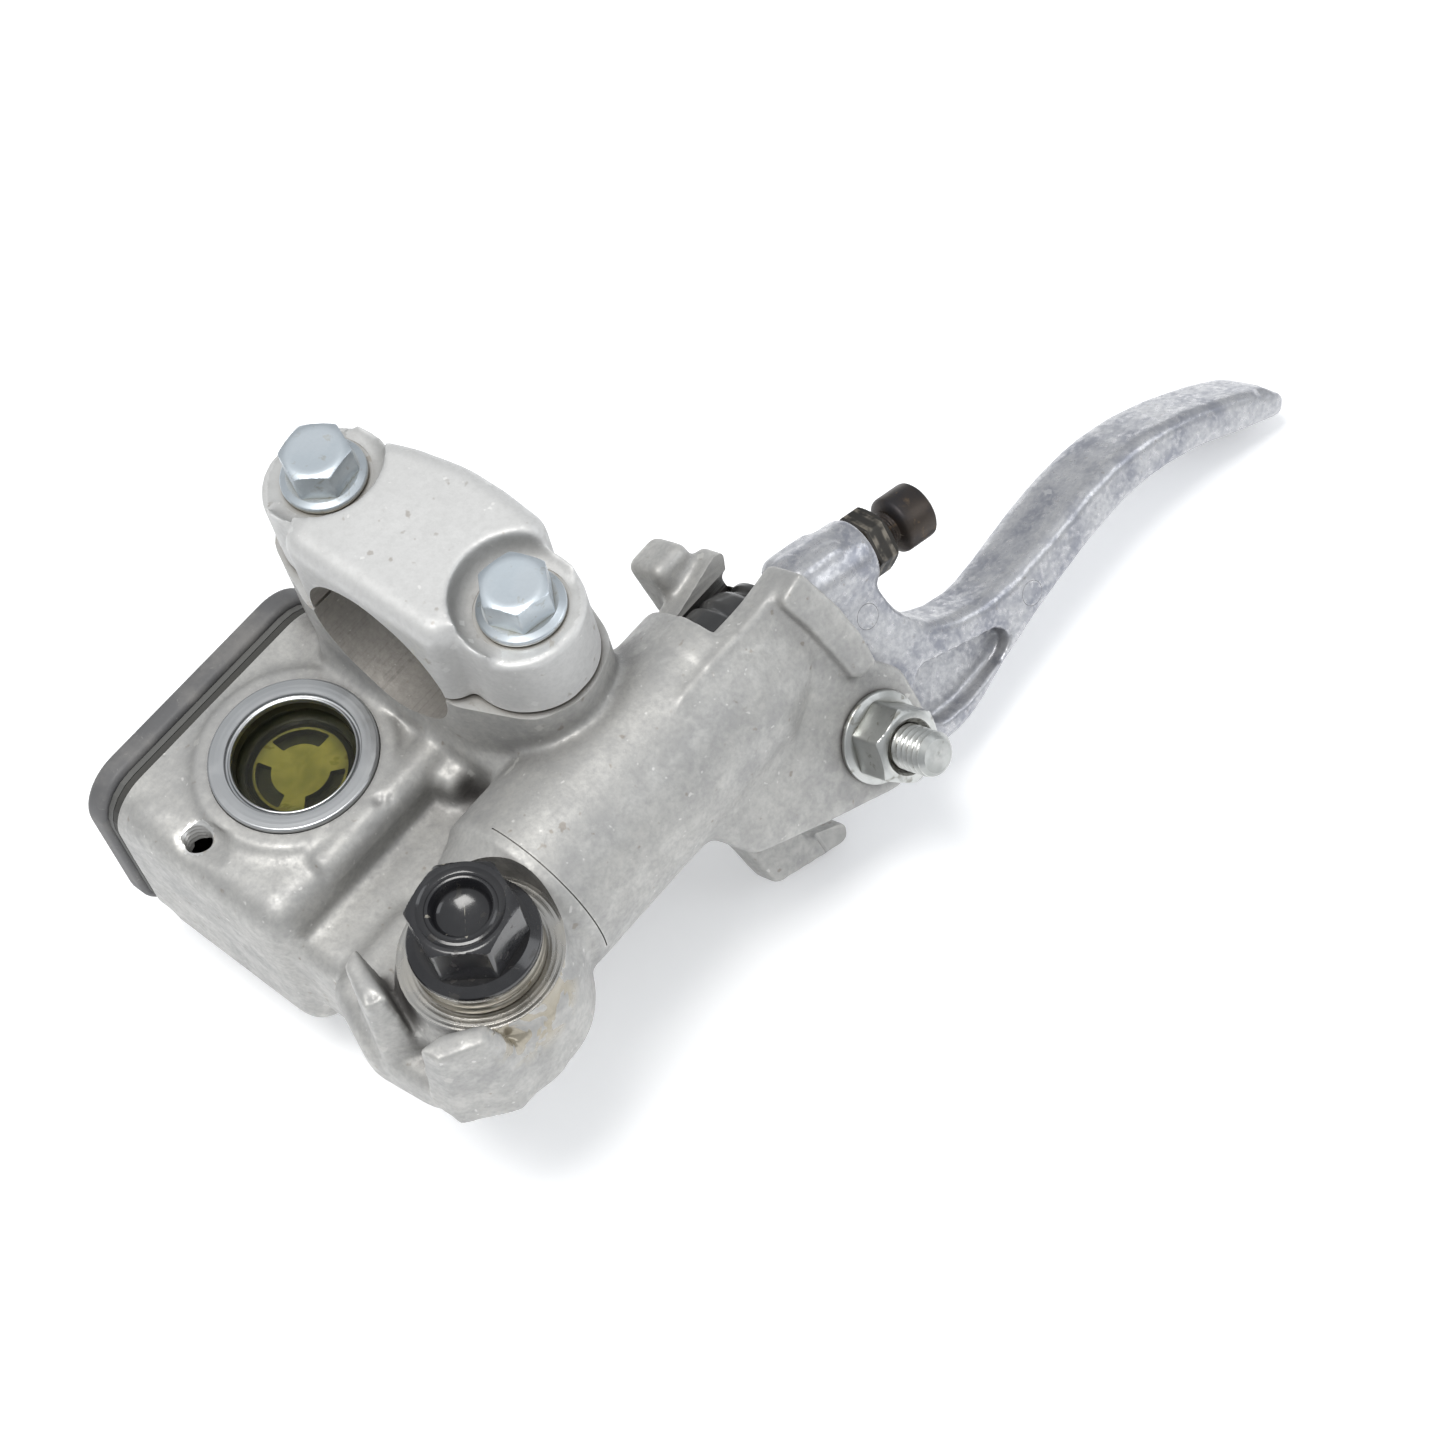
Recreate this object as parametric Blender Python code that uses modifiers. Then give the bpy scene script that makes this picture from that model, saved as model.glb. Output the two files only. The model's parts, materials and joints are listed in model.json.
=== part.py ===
"""Axial front brake master cylinder with integral reservoir and short lever.

Design units are millimetres in a frame centred on the handlebar clamp bore:
+X runs along the bar towards the lever, +Y points at the reservoir cap and
+Z towards the rider, along the clamp bolts.  Everything hangs from one empty
that moves the design frame so the object stands on z = 0.
"""
import math

import bmesh
import bpy
from mathutils import Matrix, Vector

for old in list(bpy.data.objects):
    bpy.data.objects.remove(old, do_unlink=True)

# ---------------------------------------------------------------- dimensions
MM = 0.001
OFFSET = (-29.8225, 14.66, 52.581)   # design frame to standing frame, box bottom centre at 0

BAR_R = 11.1                          # 22.2 mm handlebar
CLAMP_X0, CLAMP_X1 = -11.3, 10.5
BOLT_Y = 16.3                         # half the clamp bolt spacing
SEAT_Z = 10.4                         # clamp bolt seats
PAD_Z = 14.4

BORE_Y, BORE_Z = -28.0, -17.1         # cylinder axis
TUBE_R = 12.1
BORE_R = 5.55
LEVER_TILT = math.radians(28.0)       # lever plane against the clamp plane

PIVOT_X, PIVOT_Q = 25.7, -17.1        # pivot in the lever plane
HUB_H = 4.75                          # half thickness of the lever hub
CHEEK_IN, CHEEK_OUT = 5.1, 9.3        # bracket cheeks

ADJ_POINT = (41.4, -1.93)             # adjuster axis through this point
ADJ_TILT = math.radians(-14.0)

SIGHT = (-24.4, 6.4)
WALL_Z = -14.0                        # rider side wall of the reservoir
RES_X0, RES_X1 = -43.9, -4.6
RES_Z0 = -43.0
RIM_Y = 21.0

BANJO = (-31.2, -32.1)
BANJO_SEAT_Z = -10.6

# ---------------------------------------------------------------- collections
main = bpy.data.collections.new("brake_master_cylinder")
bpy.context.scene.collection.children.link(main)
tools = bpy.data.collections.new("cutters")
bpy.context.scene.collection.children.link(tools)

root = bpy.data.objects.new("frame_root", None)
main.objects.link(root)
root.location = [v * MM for v in OFFSET]

# ---------------------------------------------------------------- materials
MATERIALS = {
    "cast_body": ((0.52, 0.50, 0.46), 0.52, 0.85),
    "cast_clamp": ((0.62, 0.61, 0.58), 0.46, 0.85),
    "cast_lever": ((0.58, 0.57, 0.55), 0.36, 0.9),
    "cap_grey": ((0.17, 0.17, 0.17), 0.5, 0.4),
    "zinc": ((0.72, 0.74, 0.76), 0.28, 1.0),
    "zinc_dull": ((0.50, 0.50, 0.48), 0.4, 1.0),
    "machined": ((0.74, 0.75, 0.76), 0.22, 1.0),
    "black_oxide": ((0.02, 0.02, 0.023), 0.28, 0.8),
    "black_worn": ((0.05, 0.045, 0.04), 0.42, 0.8),
    "copper_washer": ((0.55, 0.47, 0.36), 0.35, 1.0),
    "rubber": ((0.025, 0.025, 0.025), 0.7, 0.0),
    "lens": ((0.30, 0.29, 0.12), 0.08, 0.0),
    "reflector": ((0.42, 0.38, 0.10), 0.35, 0.0),
    "seal_rubber": ((0.03, 0.035, 0.03), 0.55, 0.0),
    "plastic": ((0.10, 0.10, 0.10), 0.5, 0.0),
    "spring_steel": ((0.45, 0.45, 0.46), 0.3, 1.0),
    "piston_alloy": ((0.60, 0.56, 0.45), 0.3, 1.0),
}


def material(name):
    mat = bpy.data.materials.get(name)
    if mat is None:
        colour, rough, metal = MATERIALS[name]
        mat = bpy.data.materials.new(name)
        mat.use_nodes = True
        bsdf = mat.node_tree.nodes["Principled BSDF"]
        bsdf.inputs["Base Color"].default_value = (*colour, 1.0)
        bsdf.inputs["Roughness"].default_value = rough
        bsdf.inputs["Metallic"].default_value = metal
    return mat


# ---------------------------------------------------------------- frames
def frame(origin, xdir, ydir):
    """Matrix of a local frame given in design millimetres."""
    x = Vector(xdir).normalized()
    y = Vector(ydir).normalized()
    z = x.cross(y)
    m = Matrix((x, y, z)).transposed().to_4x4()
    m.translation = Vector(origin) * MM
    return m


Q_DIR = Vector((0.0, math.sin(LEVER_TILT), math.cos(LEVER_TILT)))
P_DIR = Vector((1, 0, 0)).cross(Q_DIR)
DESIGN = Matrix.Identity(4)
BORE = frame((0, BORE_Y, BORE_Z), (1, 0, 0), Q_DIR)      # x along bore, z = pivot axis


def in_bore(x, q, h=0.0):
    """Design coordinates of a point given in the lever plane frame."""
    return Vector((x, BORE_Y, BORE_Z)) + Q_DIR * q + P_DIR * h


PIVOT = frame(in_bore(PIVOT_X, PIVOT_Q), (1, 0, 0), Q_DIR)
ADJ_DIR = Vector((math.cos(ADJ_TILT), 0, 0)) + Q_DIR * math.sin(ADJ_TILT)
ADJ = frame(in_bore(*ADJ_POINT), P_DIR, P_DIR.cross(ADJ_DIR) * -1.0)
# frames whose local +z is the axis a turned piece is spun about
def axis_frame(origin, zdir, hint):
    z = Vector(zdir).normalized()
    x = Vector(hint)
    x = (x - z * x.dot(z)).normalized()
    y = z.cross(x)
    m = Matrix((x, y, z)).transposed().to_4x4()
    m.translation = Vector(origin) * MM
    return m


ADJ = axis_frame(in_bore(*ADJ_POINT), ADJ_DIR, P_DIR)
BORE_AXIS = axis_frame((0, BORE_Y, BORE_Z), (1, 0, 0), Q_DIR)


# ---------------------------------------------------------------- builders
def finish(obj, matrix, mat=None, smooth=None, cutter=False, parent=None):
    (tools if cutter else main).objects.link(obj)
    obj.parent = root if parent is None else parent
    obj.matrix_local = matrix
    if mat:
        obj.data.materials.append(material(mat))
    if smooth:
        obj.data.polygons.foreach_set("use_smooth", [True] * len(obj.data.polygons))
        obj.data.set_sharp_from_angle(angle=math.radians(smooth))
    if cutter:
        obj.hide_render = True
        obj.display_type = "WIRE"
    return obj


def mesh_object(name, bm):
    bmesh.ops.recalc_face_normals(bm, faces=bm.faces)
    mesh = bpy.data.meshes.new(name)
    bm.to_mesh(mesh)
    bm.free()
    return bpy.data.objects.new(name, mesh)


def box(name, x, y, z, matrix=DESIGN, bevel=0.0, segments=2, **kw):
    bm = bmesh.new()
    bmesh.ops.create_cube(bm, size=1.0)
    size = Vector((x[1] - x[0], y[1] - y[0], z[1] - z[0])) * MM
    mid = Vector((x[1] + x[0], y[1] + y[0], z[1] + z[0])) * MM * 0.5
    for v in bm.verts:
        v.co = Vector((v.co.x * size.x, v.co.y * size.y, v.co.z * size.z)) + mid
    if bevel:
        bmesh.ops.bevel(bm, geom=list(bm.edges), offset=bevel * MM, segments=segments,
                        profile=0.5, affect="EDGES", clamp_overlap=True)
    return finish(mesh_object(name, bm), matrix, **kw)


def cylinder(name, origin, zdir, r, z0, z1, segments=32, r2=None, bevel=0.0, bevel_top=True,
             bevel_segments=2, **kw):
    hint = (1, 0, 0) if abs(Vector(zdir).normalized().x) < 0.9 else Q_DIR
    m = axis_frame(origin, zdir, hint)
    bm = bmesh.new()
    bmesh.ops.create_cone(bm, cap_ends=True, segments=segments, radius1=r * MM,
                          radius2=(r if r2 is None else r2) * MM, depth=(z1 - z0) * MM)
    for v in bm.verts:
        v.co.z += (z0 + z1) * 0.5 * MM
    if bevel:
        top = [e for e in bm.edges if all(v.co.z > ((z0 + z1) * 0.5) * MM for v in e.verts)]
        low = [e for e in bm.edges if all(v.co.z < ((z0 + z1) * 0.5) * MM for v in e.verts)]
        edges = top if bevel_top is True else (low if bevel_top is False else top + low)
        bmesh.ops.bevel(bm, geom=edges, offset=bevel * MM, segments=bevel_segments,
                        profile=0.5, affect="EDGES", clamp_overlap=True)
    return finish(mesh_object(name, bm), m, **kw)


def turned(name, matrix, profile, segments=32, **kw):
    """Solid of revolution about local z from (radius, height) points, top to bottom."""
    mesh = bpy.data.meshes.new(name)
    pts = [(r * MM, 0.0, z * MM) for r, z in profile]
    closed = profile[0][0] > 1e-6
    edges = [(i, i + 1) for i in range(len(pts) - 1)]
    if closed:
        edges.append((len(pts) - 1, 0))
    mesh.from_pydata(pts, edges, [])
    obj = bpy.data.objects.new(name, mesh)
    mod = obj.modifiers.new("spin", "SCREW")
    mod.axis = "Z"
    mod.angle = math.tau
    mod.steps = mod.render_steps = segments
    mod.use_merge_vertices = True
    mod.merge_threshold = 1e-5
    mod.use_normal_calculate = True
    mod.use_smooth_shade = False
    bpy.context.scene.collection.objects.link(obj)
    deps = bpy.context.evaluated_depsgraph_get()
    data = bpy.data.meshes.new_from_object(obj.evaluated_get(deps), depsgraph=deps)
    bpy.data.objects.remove(obj, do_unlink=True)
    data.name = name
    bm = bmesh.new()
    bm.from_mesh(data)
    bmesh.ops.remove_doubles(bm, verts=bm.verts, dist=1e-6)
    bmesh.ops.recalc_face_normals(bm, faces=bm.faces)
    if bm.calc_volume(signed=True) < 0:
        bmesh.ops.reverse_faces(bm, faces=bm.faces)
    bm.to_mesh(data)
    bm.free()
    return finish(bpy.data.objects.new(name, data), matrix, **kw)


def plate(name, matrix, outline, h0, h1, bevel=0.0, segments=2, **kw):
    """Flat outline in local x, y filled and extruded from h0 to h1 along local z."""
    curve = bpy.data.curves.new(name, "CURVE")
    curve.dimensions = "2D"
    curve.fill_mode = "BOTH"
    curve.extrude = (h1 - h0) * 0.5 * MM
    spline = curve.splines.new("POLY")
    spline.points.add(len(outline) - 1)
    for p, (x, y) in zip(spline.points, outline):
        p.co = (x * MM, y * MM, 0.0, 1.0)
    spline.use_cyclic_u = True
    tmp = bpy.data.objects.new(name + "_outline", curve)
    bpy.context.scene.collection.objects.link(tmp)
    deps = bpy.context.evaluated_depsgraph_get()
    data = bpy.data.meshes.new_from_object(tmp.evaluated_get(deps), depsgraph=deps)
    bpy.data.objects.remove(tmp, do_unlink=True)
    bm = bmesh.new()
    bm.from_mesh(data)
    bmesh.ops.remove_doubles(bm, verts=bm.verts, dist=1e-6)
    bmesh.ops.dissolve_limit(bm, angle_limit=0.001, verts=bm.verts, edges=bm.edges)
    for v in bm.verts:
        v.co.z += (h0 + h1) * 0.5 * MM
    if bevel:
        rim = [e for e in bm.edges if abs(e.verts[0].co.z - e.verts[1].co.z) < 1e-7]
        bmesh.ops.bevel(bm, geom=rim, offset=bevel * MM, segments=segments, profile=0.5,
                        affect="EDGES", clamp_overlap=True)
    bmesh.ops.recalc_face_normals(bm, faces=bm.faces)
    if bm.calc_volume(signed=True) < 0:
        bmesh.ops.reverse_faces(bm, faces=bm.faces)
    bm.to_mesh(data)
    bm.free()
    data.name = name
    return finish(bpy.data.objects.new(name, data), matrix, **kw)


def round_corners(points, radii, steps=4):
    """Outline with each corner replaced by a tangent arc."""
    if isinstance(radii, (int, float)):
        radii = [radii] * len(points)
    out = []
    n = len(points)
    for i in range(n):
        p = Vector(points[i])
        a = Vector(points[i - 1]) - p
        b = Vector(points[(i + 1) % n]) - p
        r = radii[i]
        ang = a.angle(b)
        if r <= 0 or ang > math.radians(176):
            out.append(tuple(p))
            continue
        t = min(r / math.tan(ang * 0.5), a.length * 0.48, b.length * 0.48)
        r = t * math.tan(ang * 0.5)
        a.normalize()
        b.normalize()
        centre = p + (a + b).normalized() * (r / math.sin(ang * 0.5))
        s = p + a * t - centre
        e = p + b * t - centre
        sweep = s.angle_signed(e)
        k = max(1, math.ceil(steps * abs(sweep) / (math.pi * 0.5)))
        for j in range(k + 1):
            th = -sweep * j / k
            c, sn = math.cos(th), math.sin(th)
            out.append((centre.x + s.x * c - s.y * sn, centre.y + s.x * sn + s.y * c))
    return out


def boolean(obj, other, operation="DIFFERENCE", solver="EXACT"):
    mod = obj.modifiers.new(operation.lower(), "BOOLEAN")
    mod.operation = operation
    mod.solver = solver
    mod.object = other
    return obj


def cut(obj, *others):
    for other in others:
        boolean(obj, other, "DIFFERENCE")
    return obj


def join(obj, *others):
    for other in others:
        boolean(obj, other, "UNION")
    return obj


def hexagon(af, phase=0.0):
    r = af / math.sqrt(3.0)
    return [(r * math.cos(phase + i * math.pi / 3), r * math.sin(phase + i * math.pi / 3))
            for i in range(6)]


CUT = dict(cutter=True)
FAR = (1, 0, 0)

# ================================================================ main casting
body = cylinder("master_body", (0, BORE_Y, BORE_Z), FAR, TUBE_R, -21.0, 16.4, segments=44,
                mat="cast_body")
adds = [
    cylinder("add_barrel", (0, BORE_Y, BORE_Z), FAR, 8.8, -29.5, -20.5, segments=44, r2=TUBE_R - 0.3, **CUT),
    cylinder("add_banjo_boss", (*BANJO, 0), (0, 0, 1), 11.4, -27.6, -12.6, segments=40,
             bevel=2.4, bevel_top="both", bevel_segments=2, **CUT),
    cylinder("add_banjo_seat", (*BANJO, 0), (0, 0, 1), 10.3, -20.0, BANJO_SEAT_Z, segments=40, **CUT),
    plate("add_lug_base", DESIGN, round_corners(
        [(-43.5, -15.5), (-47.6, -25.5), (-46.6, -34.5), (-42.2, -42.2), (-33.4, -44.2), (-26.4, -41.8),
         (-23.6, -37.5), (-22.6, -28.0), (-30.0, -15.0)], [3, 6, 6, 6, 6, 4, 4, 3, 3], 2),
        -26.4, -18.2, bevel=2.0, segments=2, **CUT),
    plate("add_lug_left", DESIGN, round_corners(
        [(-40.6, -21.6), (-43.6, -22.6), (-46.4, -28.6), (-43.2, -30.2)], 0.8, 2),
        -24.0, -5.2, bevel=0.5, segments=1, **CUT),
    plate("add_lug_right", DESIGN, round_corners(
        [(-46.6, -36.4), (-46.0, -39.8), (-40.2, -43.0), (-38.2, -40.6), (-43.4, -37.0)], 0.8, 2),
        -24.0, -6.2, bevel=0.5, segments=1, **CUT),
    box("add_reservoir", (RES_X0, RES_X1), (-8.5, RIM_Y), (RES_Z0, WALL_Z), bevel=4.2, segments=3, **CUT),
    plate("add_rim", frame((0, RIM_Y, 0), (1, 0, 0), (0, 0, 1)), round_corners(
        [(RES_X0, RES_Z0), (RES_X1, RES_Z0), (RES_X1, WALL_Z), (RES_X0, WALL_Z)], 6.0, 3),
        0.0, 7.0, **CUT),
    box("add_floor", (-42.4, -12.0), (-24.0, -4.0), (-37.0, -19.6), bevel=3.4, segments=3, **CUT),
    plate("add_ridge", frame((0, -6.2, -15.4), (0, 1, 0), (0, 0, 1)),
          [(2.6 * math.cos(a), 2.6 * math.sin(a)) for a in [i * math.tau / 20 for i in range(20)]],
          -34.0, -11.5, bevel=0.9, segments=2, **CUT),
    cylinder("add_sight_boss", (*SIGHT, 0), (0, 0, 1), 13.4, -20.0, -12.9, segments=44,
             bevel=1.0, bevel_segments=2, **CUT),
    # clamp half, its bolt columns and the web down to the tube
    plate("add_clamp", DESIGN, round_corners(
        [(-11.3, -12.5), (-6.5, -23.6), (6.5, -23.6), (10.5, -12.5),
         (10.5, 12.5), (6.5, 23.9), (-6.5, 23.9), (-11.3, 12.5)], [4, 5.5, 5.5, 4, 4, 5.5, 5.5, 4], 3),
        -13.2, -0.3, **CUT),
    box("add_web", (-12.0, 9.6), (-27.0, 15.0), (-27.0, -10.5), bevel=2.2, segments=2, **CUT),
    box("add_bridge", (-16.0, -3.0), (-12.0, 20.0), (-38.0, -14.6), bevel=1.6, segments=1, **CUT),
]

near_outline = round_corners(
    [(-1.0, -7.0), (3.4, -15.6), (13.4, -20.6), (24.2, -25.4), (29.6, -25.2), (33.6, -20.0),
     (33.8, -13.0), (30.8, -8.2), (30.6, 0.6), (28.6, 10.0), (22.0, 9.2), (8.0, 9.2), (-1.0, 7.0)],
    [3, 3, 3, 4, 4, 4, 3, 2, 4, 0.8, 2, 3, 3], 3)
far_outline = round_corners(
    [(-1.0, -7.0), (4.6, -18.0), (7.6, -24.0), (8.4, -31.8), (20.4, -36.0), (21.6, -33.6),
     (15.6, -30.4), (15.2, -23.6), (24.2, -25.4), (29.6, -25.2), (33.6, -20.0),
     (33.8, -13.0), (30.8, -8.2), (30.6, 0.6), (29.8, 9.8), (18.0, 9.8), (8.0, 9.2), (-1.0, 7.0)],
    [3, 3, 3, 1.2, 1.2, 1, 2, 3, 4, 4, 4, 4, 3, 2, 0.8, 1, 3, 3], 2)
adds += [
    plate("add_cheek_near", BORE, near_outline, CHEEK_IN, CHEEK_OUT, bevel=0.9, segments=2, **CUT),
    plate("add_cheek_far", BORE, far_outline, -CHEEK_OUT, -CHEEK_IN, bevel=0.9, segments=2, **CUT),
    plate("add_rib", BORE, round_corners(
        [(24.0, 8.8), (25.4, 3.0), (26.3, -4.0), (26.6, -7.6), (30.6, -8.4), (30.9, -3.0),
         (30.4, 2.0), (28.6, 10.0)], [0.8, 3, 3, 1, 1, 3, 3, 0.8], 2),
        CHEEK_OUT - 2.2, CHEEK_OUT + 1.6, bevel=0.7, segments=2, **CUT),
    box("add_switch_lug", (20.4, 27.2), (3.0, 12.6), (-14.6, -6.2), matrix=BORE, bevel=1.6,
        segments=2, **CUT),
]
# the exact solver leaves slivers open where the rounded boss meets the lug base,
# so the casting uses the manifold solver from there on
EXACT_STEPS = ("add_barrel", "add_banjo_boss", "add_banjo_seat")
for tool in adds:
    boolean(body, tool, "UNION", "EXACT" if tool.name in EXACT_STEPS else "MANIFOLD")

cuts = [
    cylinder("cut_bar", (0, 0, 0), FAR, BAR_R, -70.0, 30.0, segments=48, **CUT),
    cylinder("cut_bore", (0, BORE_Y, BORE_Z), FAR, BORE_R, -22.4, 13.0, segments=32, **CUT),
    cylinder("cut_outlet", (0, BORE_Y, BORE_Z), FAR, 1.5, -31.0, -22.0, segments=12, **CUT),
    cylinder("cut_clip_groove", (0, BORE_Y, BORE_Z), FAR, 6.35, 9.8, 11.1, segments=32, **CUT),
    cylinder("cut_boot_seat", (0, BORE_Y, BORE_Z), FAR, 8.3, 11.9, 27.5, segments=32, **CUT),
    cylinder("cut_pivot", in_bore(PIVOT_X, PIVOT_Q), P_DIR, 3.1, -12.0, 12.0, segments=24, **CUT),
    cylinder("cut_banjo_spot", (*BANJO, 0), (0, 0, 1), 10.35, BANJO_SEAT_Z + 0.004, 0.0, segments=40, **CUT),
    cylinder("cut_banjo_thread", (*BANJO, 0), (0, 0, 1), 5.05, -24.4, -2.0, segments=28, **CUT),
    box("cut_reservoir", (RES_X0 + 2.8, RES_X1 - 2.8), (-4.4, 30.0), (RES_Z0 + 2.8, WALL_Z - 3.4),
        bevel=3.4, segments=2, **CUT),
    cylinder("cut_sight_seat", (*SIGHT, 0), (0, 0, 1), 10.95, -17.3, -10.0, segments=40, **CUT),
    cylinder("cut_sight_hole", (*SIGHT, 0), (0, 0, 1), 7.4, -19.5, -10.0, segments=32, **CUT),
    cylinder("cut_supply_port", (-2.2 - 6.8, 0, -21.2), (0, 1, 0), 1.2, -26.5, 0.0, segments=12, **CUT),
    cylinder("cut_bracket_hole", (-39.6, 9.2, 0), (0, 0, 1), 1.9, -21.0, -10.0, segments=20, **CUT),
    cylinder("cut_bracket_spot", (-39.6, 9.2, 0), (0, 0, 1), 3.9, WALL_Z - 0.7, -10.0, segments=28, **CUT),
]
for sy in (1, -1):
    cuts.append(cylinder("cut_clamp_thread_%d" % sy, (0, sy * BOLT_Y, 0), (0, 0, 1), 3.05,
                         -13.5, 5.0, segments=24, **CUT))
for i, (sx, sz) in enumerate(((RES_X0 + 5.2, RES_Z0 + 5.2), (RES_X1 - 5.2, WALL_Z - 6.2))):
    adds_post = cylinder("add_screw_post_%d" % i, (sx, 0, sz), (0, 1, 0), 3.6, 8.0, RIM_Y - 0.45, segments=20, **CUT)
for tool in cuts:
    boolean(body, tool, "DIFFERENCE", "MANIFOLD")
for i in (0, 1):
    boolean(body, bpy.data.objects["add_screw_post_%d" % i], "UNION", "MANIFOLD")
SCREWS = ((RES_X0 + 5.2, RES_Z0 + 5.2), (RES_X1 - 5.2, WALL_Z - 6.2))
for i, (sx, sz) in enumerate(SCREWS):
    boolean(body, cylinder("cut_screw_%d" % i, (sx, 0, sz), (0, 1, 0), 2.05, 11.0, 30.0, segments=16,
                           **CUT), "DIFFERENCE", "MANIFOLD")

# ================================================================ reservoir top
TOP = frame((0, RIM_Y, 0), (0, 0, 1), (1, 0, 0))         # local z = +Y


def rim_outline(grow, radius, steps=4):
    x0, x1, z0, z1 = RES_X0 - grow, RES_X1 + grow, RES_Z0 - grow, WALL_Z + grow
    return round_corners([(z0, x0), (z1, x0), (z1, x1), (z0, x1)], radius + grow, steps)


diaphragm = plate("diaphragm", TOP, rim_outline(-0.3, 6.0), 0.1, 1.1, mat="rubber")


def bellows_outline(inset):
    x0, x1 = RES_X0 + 4.8 + inset, RES_X1 - 4.8 - inset
    z0, z1 = RES_Z0 + 4.8 + inset, WALL_Z - 5.4 - inset
    c = 7.2
    return round_corners([(z0 + c, x0), (z1, x0), (z1, x1 - c), (z1 - c, x1), (z0, x1), (z0, x0 + c)],
                         2.0, 2)


join(diaphragm, plate("add_bellows", TOP, bellows_outline(0.0), -7.0, 0.6, **CUT))
cut(diaphragm, plate("cut_bellows", TOP, bellows_outline(1.2), -5.9, 5.0, **CUT))
holder = plate("diaphragm_plate", TOP, rim_outline(-0.3, 6.0), 1.2, 2.0, mat="plastic")
cut(holder, box("cut_holder", (RES_X0 + 8.0, RES_X1 - 8.0), (RIM_Y, RIM_Y + 5.0),
                (RES_Z0 + 8.0, WALL_Z - 8.6), bevel=0.0, **CUT))
cap = plate("reservoir_cap", TOP, rim_outline(0.5, 6.0), 2.1, 5.3, bevel=0.8, segments=2,
            mat="cap_grey")
for i, (sx, sz) in enumerate(SCREWS):
    for piece, tag in ((diaphragm, "d"), (holder, "h"), (cap, "c")):
        r = 2.15 if tag != "d" else 2.15
        cut(piece, cylinder("cut_%s_%d" % (tag, i), (sx, 0, sz), (0, 1, 0), r, RIM_Y - 14.0,
                            RIM_Y + 12.0, segments=16, **CUT))
    cut(cap, cylinder("cut_csk_%d" % i, (sx, 0, sz), (0, 1, 0), 2.15, RIM_Y + 3.2, RIM_Y + 5.6,
                      segments=20, r2=4.55, **CUT))
    turned("cap_screw_%s" % ("inner", "outer")[i],
           axis_frame((sx, RIM_Y, sz), (0, 1, 0), (1, 0, 0)),
           [(0, 4.6), (1.5, 4.6), (1.5, 5.05), (3.85, 5.05), (1.95, 3.05), (1.95, -9.0), (0, -9.4)],
           24, mat="zinc", smooth=35)

# ================================================================ sight glass
SG = axis_frame((*SIGHT, 0), (0, 0, 1), (1, 0, 0))
turned("sight_glass_bezel", SG,
       [(10.5, -12.1), (10.85, -12.45), (10.85, -17.1), (8.9, -17.1), (8.9, -14.6), (8.5, -13.4),
        (8.7, -12.3), (8.95, -12.1)], 36, mat="machined", smooth=35)
turned("sight_glass_seal", SG,
       [(8.6, -17.15), (8.6, -16.2), (6.9, -16.2), (6.9, -17.15)], 36, mat="seal_rubber", smooth=35)
turned("sight_glass_lens", SG,
       [(0, -14.75), (7.9, -14.75), (8.25, -15.0), (8.25, -15.75), (0, -15.75)], 36, mat="lens", smooth=35)
refl = turned("sight_glass_reflector", SG,
              [(0, -16.6), (6.6, -16.6), (6.6, -18.2), (0, -18.2)], 36, mat="reflector")
for k in range(3):
    a = math.radians(35 + 120 * k)
    cut(refl, cylinder("cut_reflector_%d" % k, (SIGHT[0] + 6.2 * math.cos(a),
                                               SIGHT[1] + 6.2 * math.sin(a), 0),
                       (0, 0, 1), 1.9, -17.4, -10.0, segments=16, **CUT))

# ================================================================ clamp cap and bolts
clamp_outline = round_corners(
    [(-11.3, -12.0), (-7.0, -23.9), (7.0, -23.9), (10.5, -12.0),
     (10.5, 12.0), (7.0, 23.9), (-7.0, 23.9), (-11.3, 12.0)], [5, 6.5, 6.5, 5, 5, 6.5, 6.5, 5], 4)
clamp = plate("clamp_cap", DESIGN, clamp_outline, 0.3, PAD_Z, bevel=1.6, segments=3, mat="cast_clamp")
cut(clamp, cylinder("cut_cap_bar", (0, 0, 0), FAR, BAR_R, -30.0, 30.0, segments=48, **CUT))
cut(clamp, box("cut_cap_gap", (-30, 30), (-40.0, 0.0), (-2.0, 1.3), **CUT))
for sy in (1, -1):
    cut(clamp, cylinder("cut_spot_%d" % sy, (0, sy * BOLT_Y, 0), (0, 0, 1), 8.0, SEAT_Z, 20.0,
                        segments=40, **CUT))
    # the spot face runs out past the end of the cap
    cut(clamp, box("cut_spot_end_%d" % sy, (-16.0, 16.0), tuple(sorted((sy * (BOLT_Y + 1.0), sy * 40.0))),
                   (SEAT_Z, 20.0), **CUT))
    cut(clamp, cylinder("cut_cap_hole_%d" % sy, (0, sy * BOLT_Y, 0), (0, 0, 1), 3.25, -5.0, 20.0,
                        segments=24, **CUT))


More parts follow.
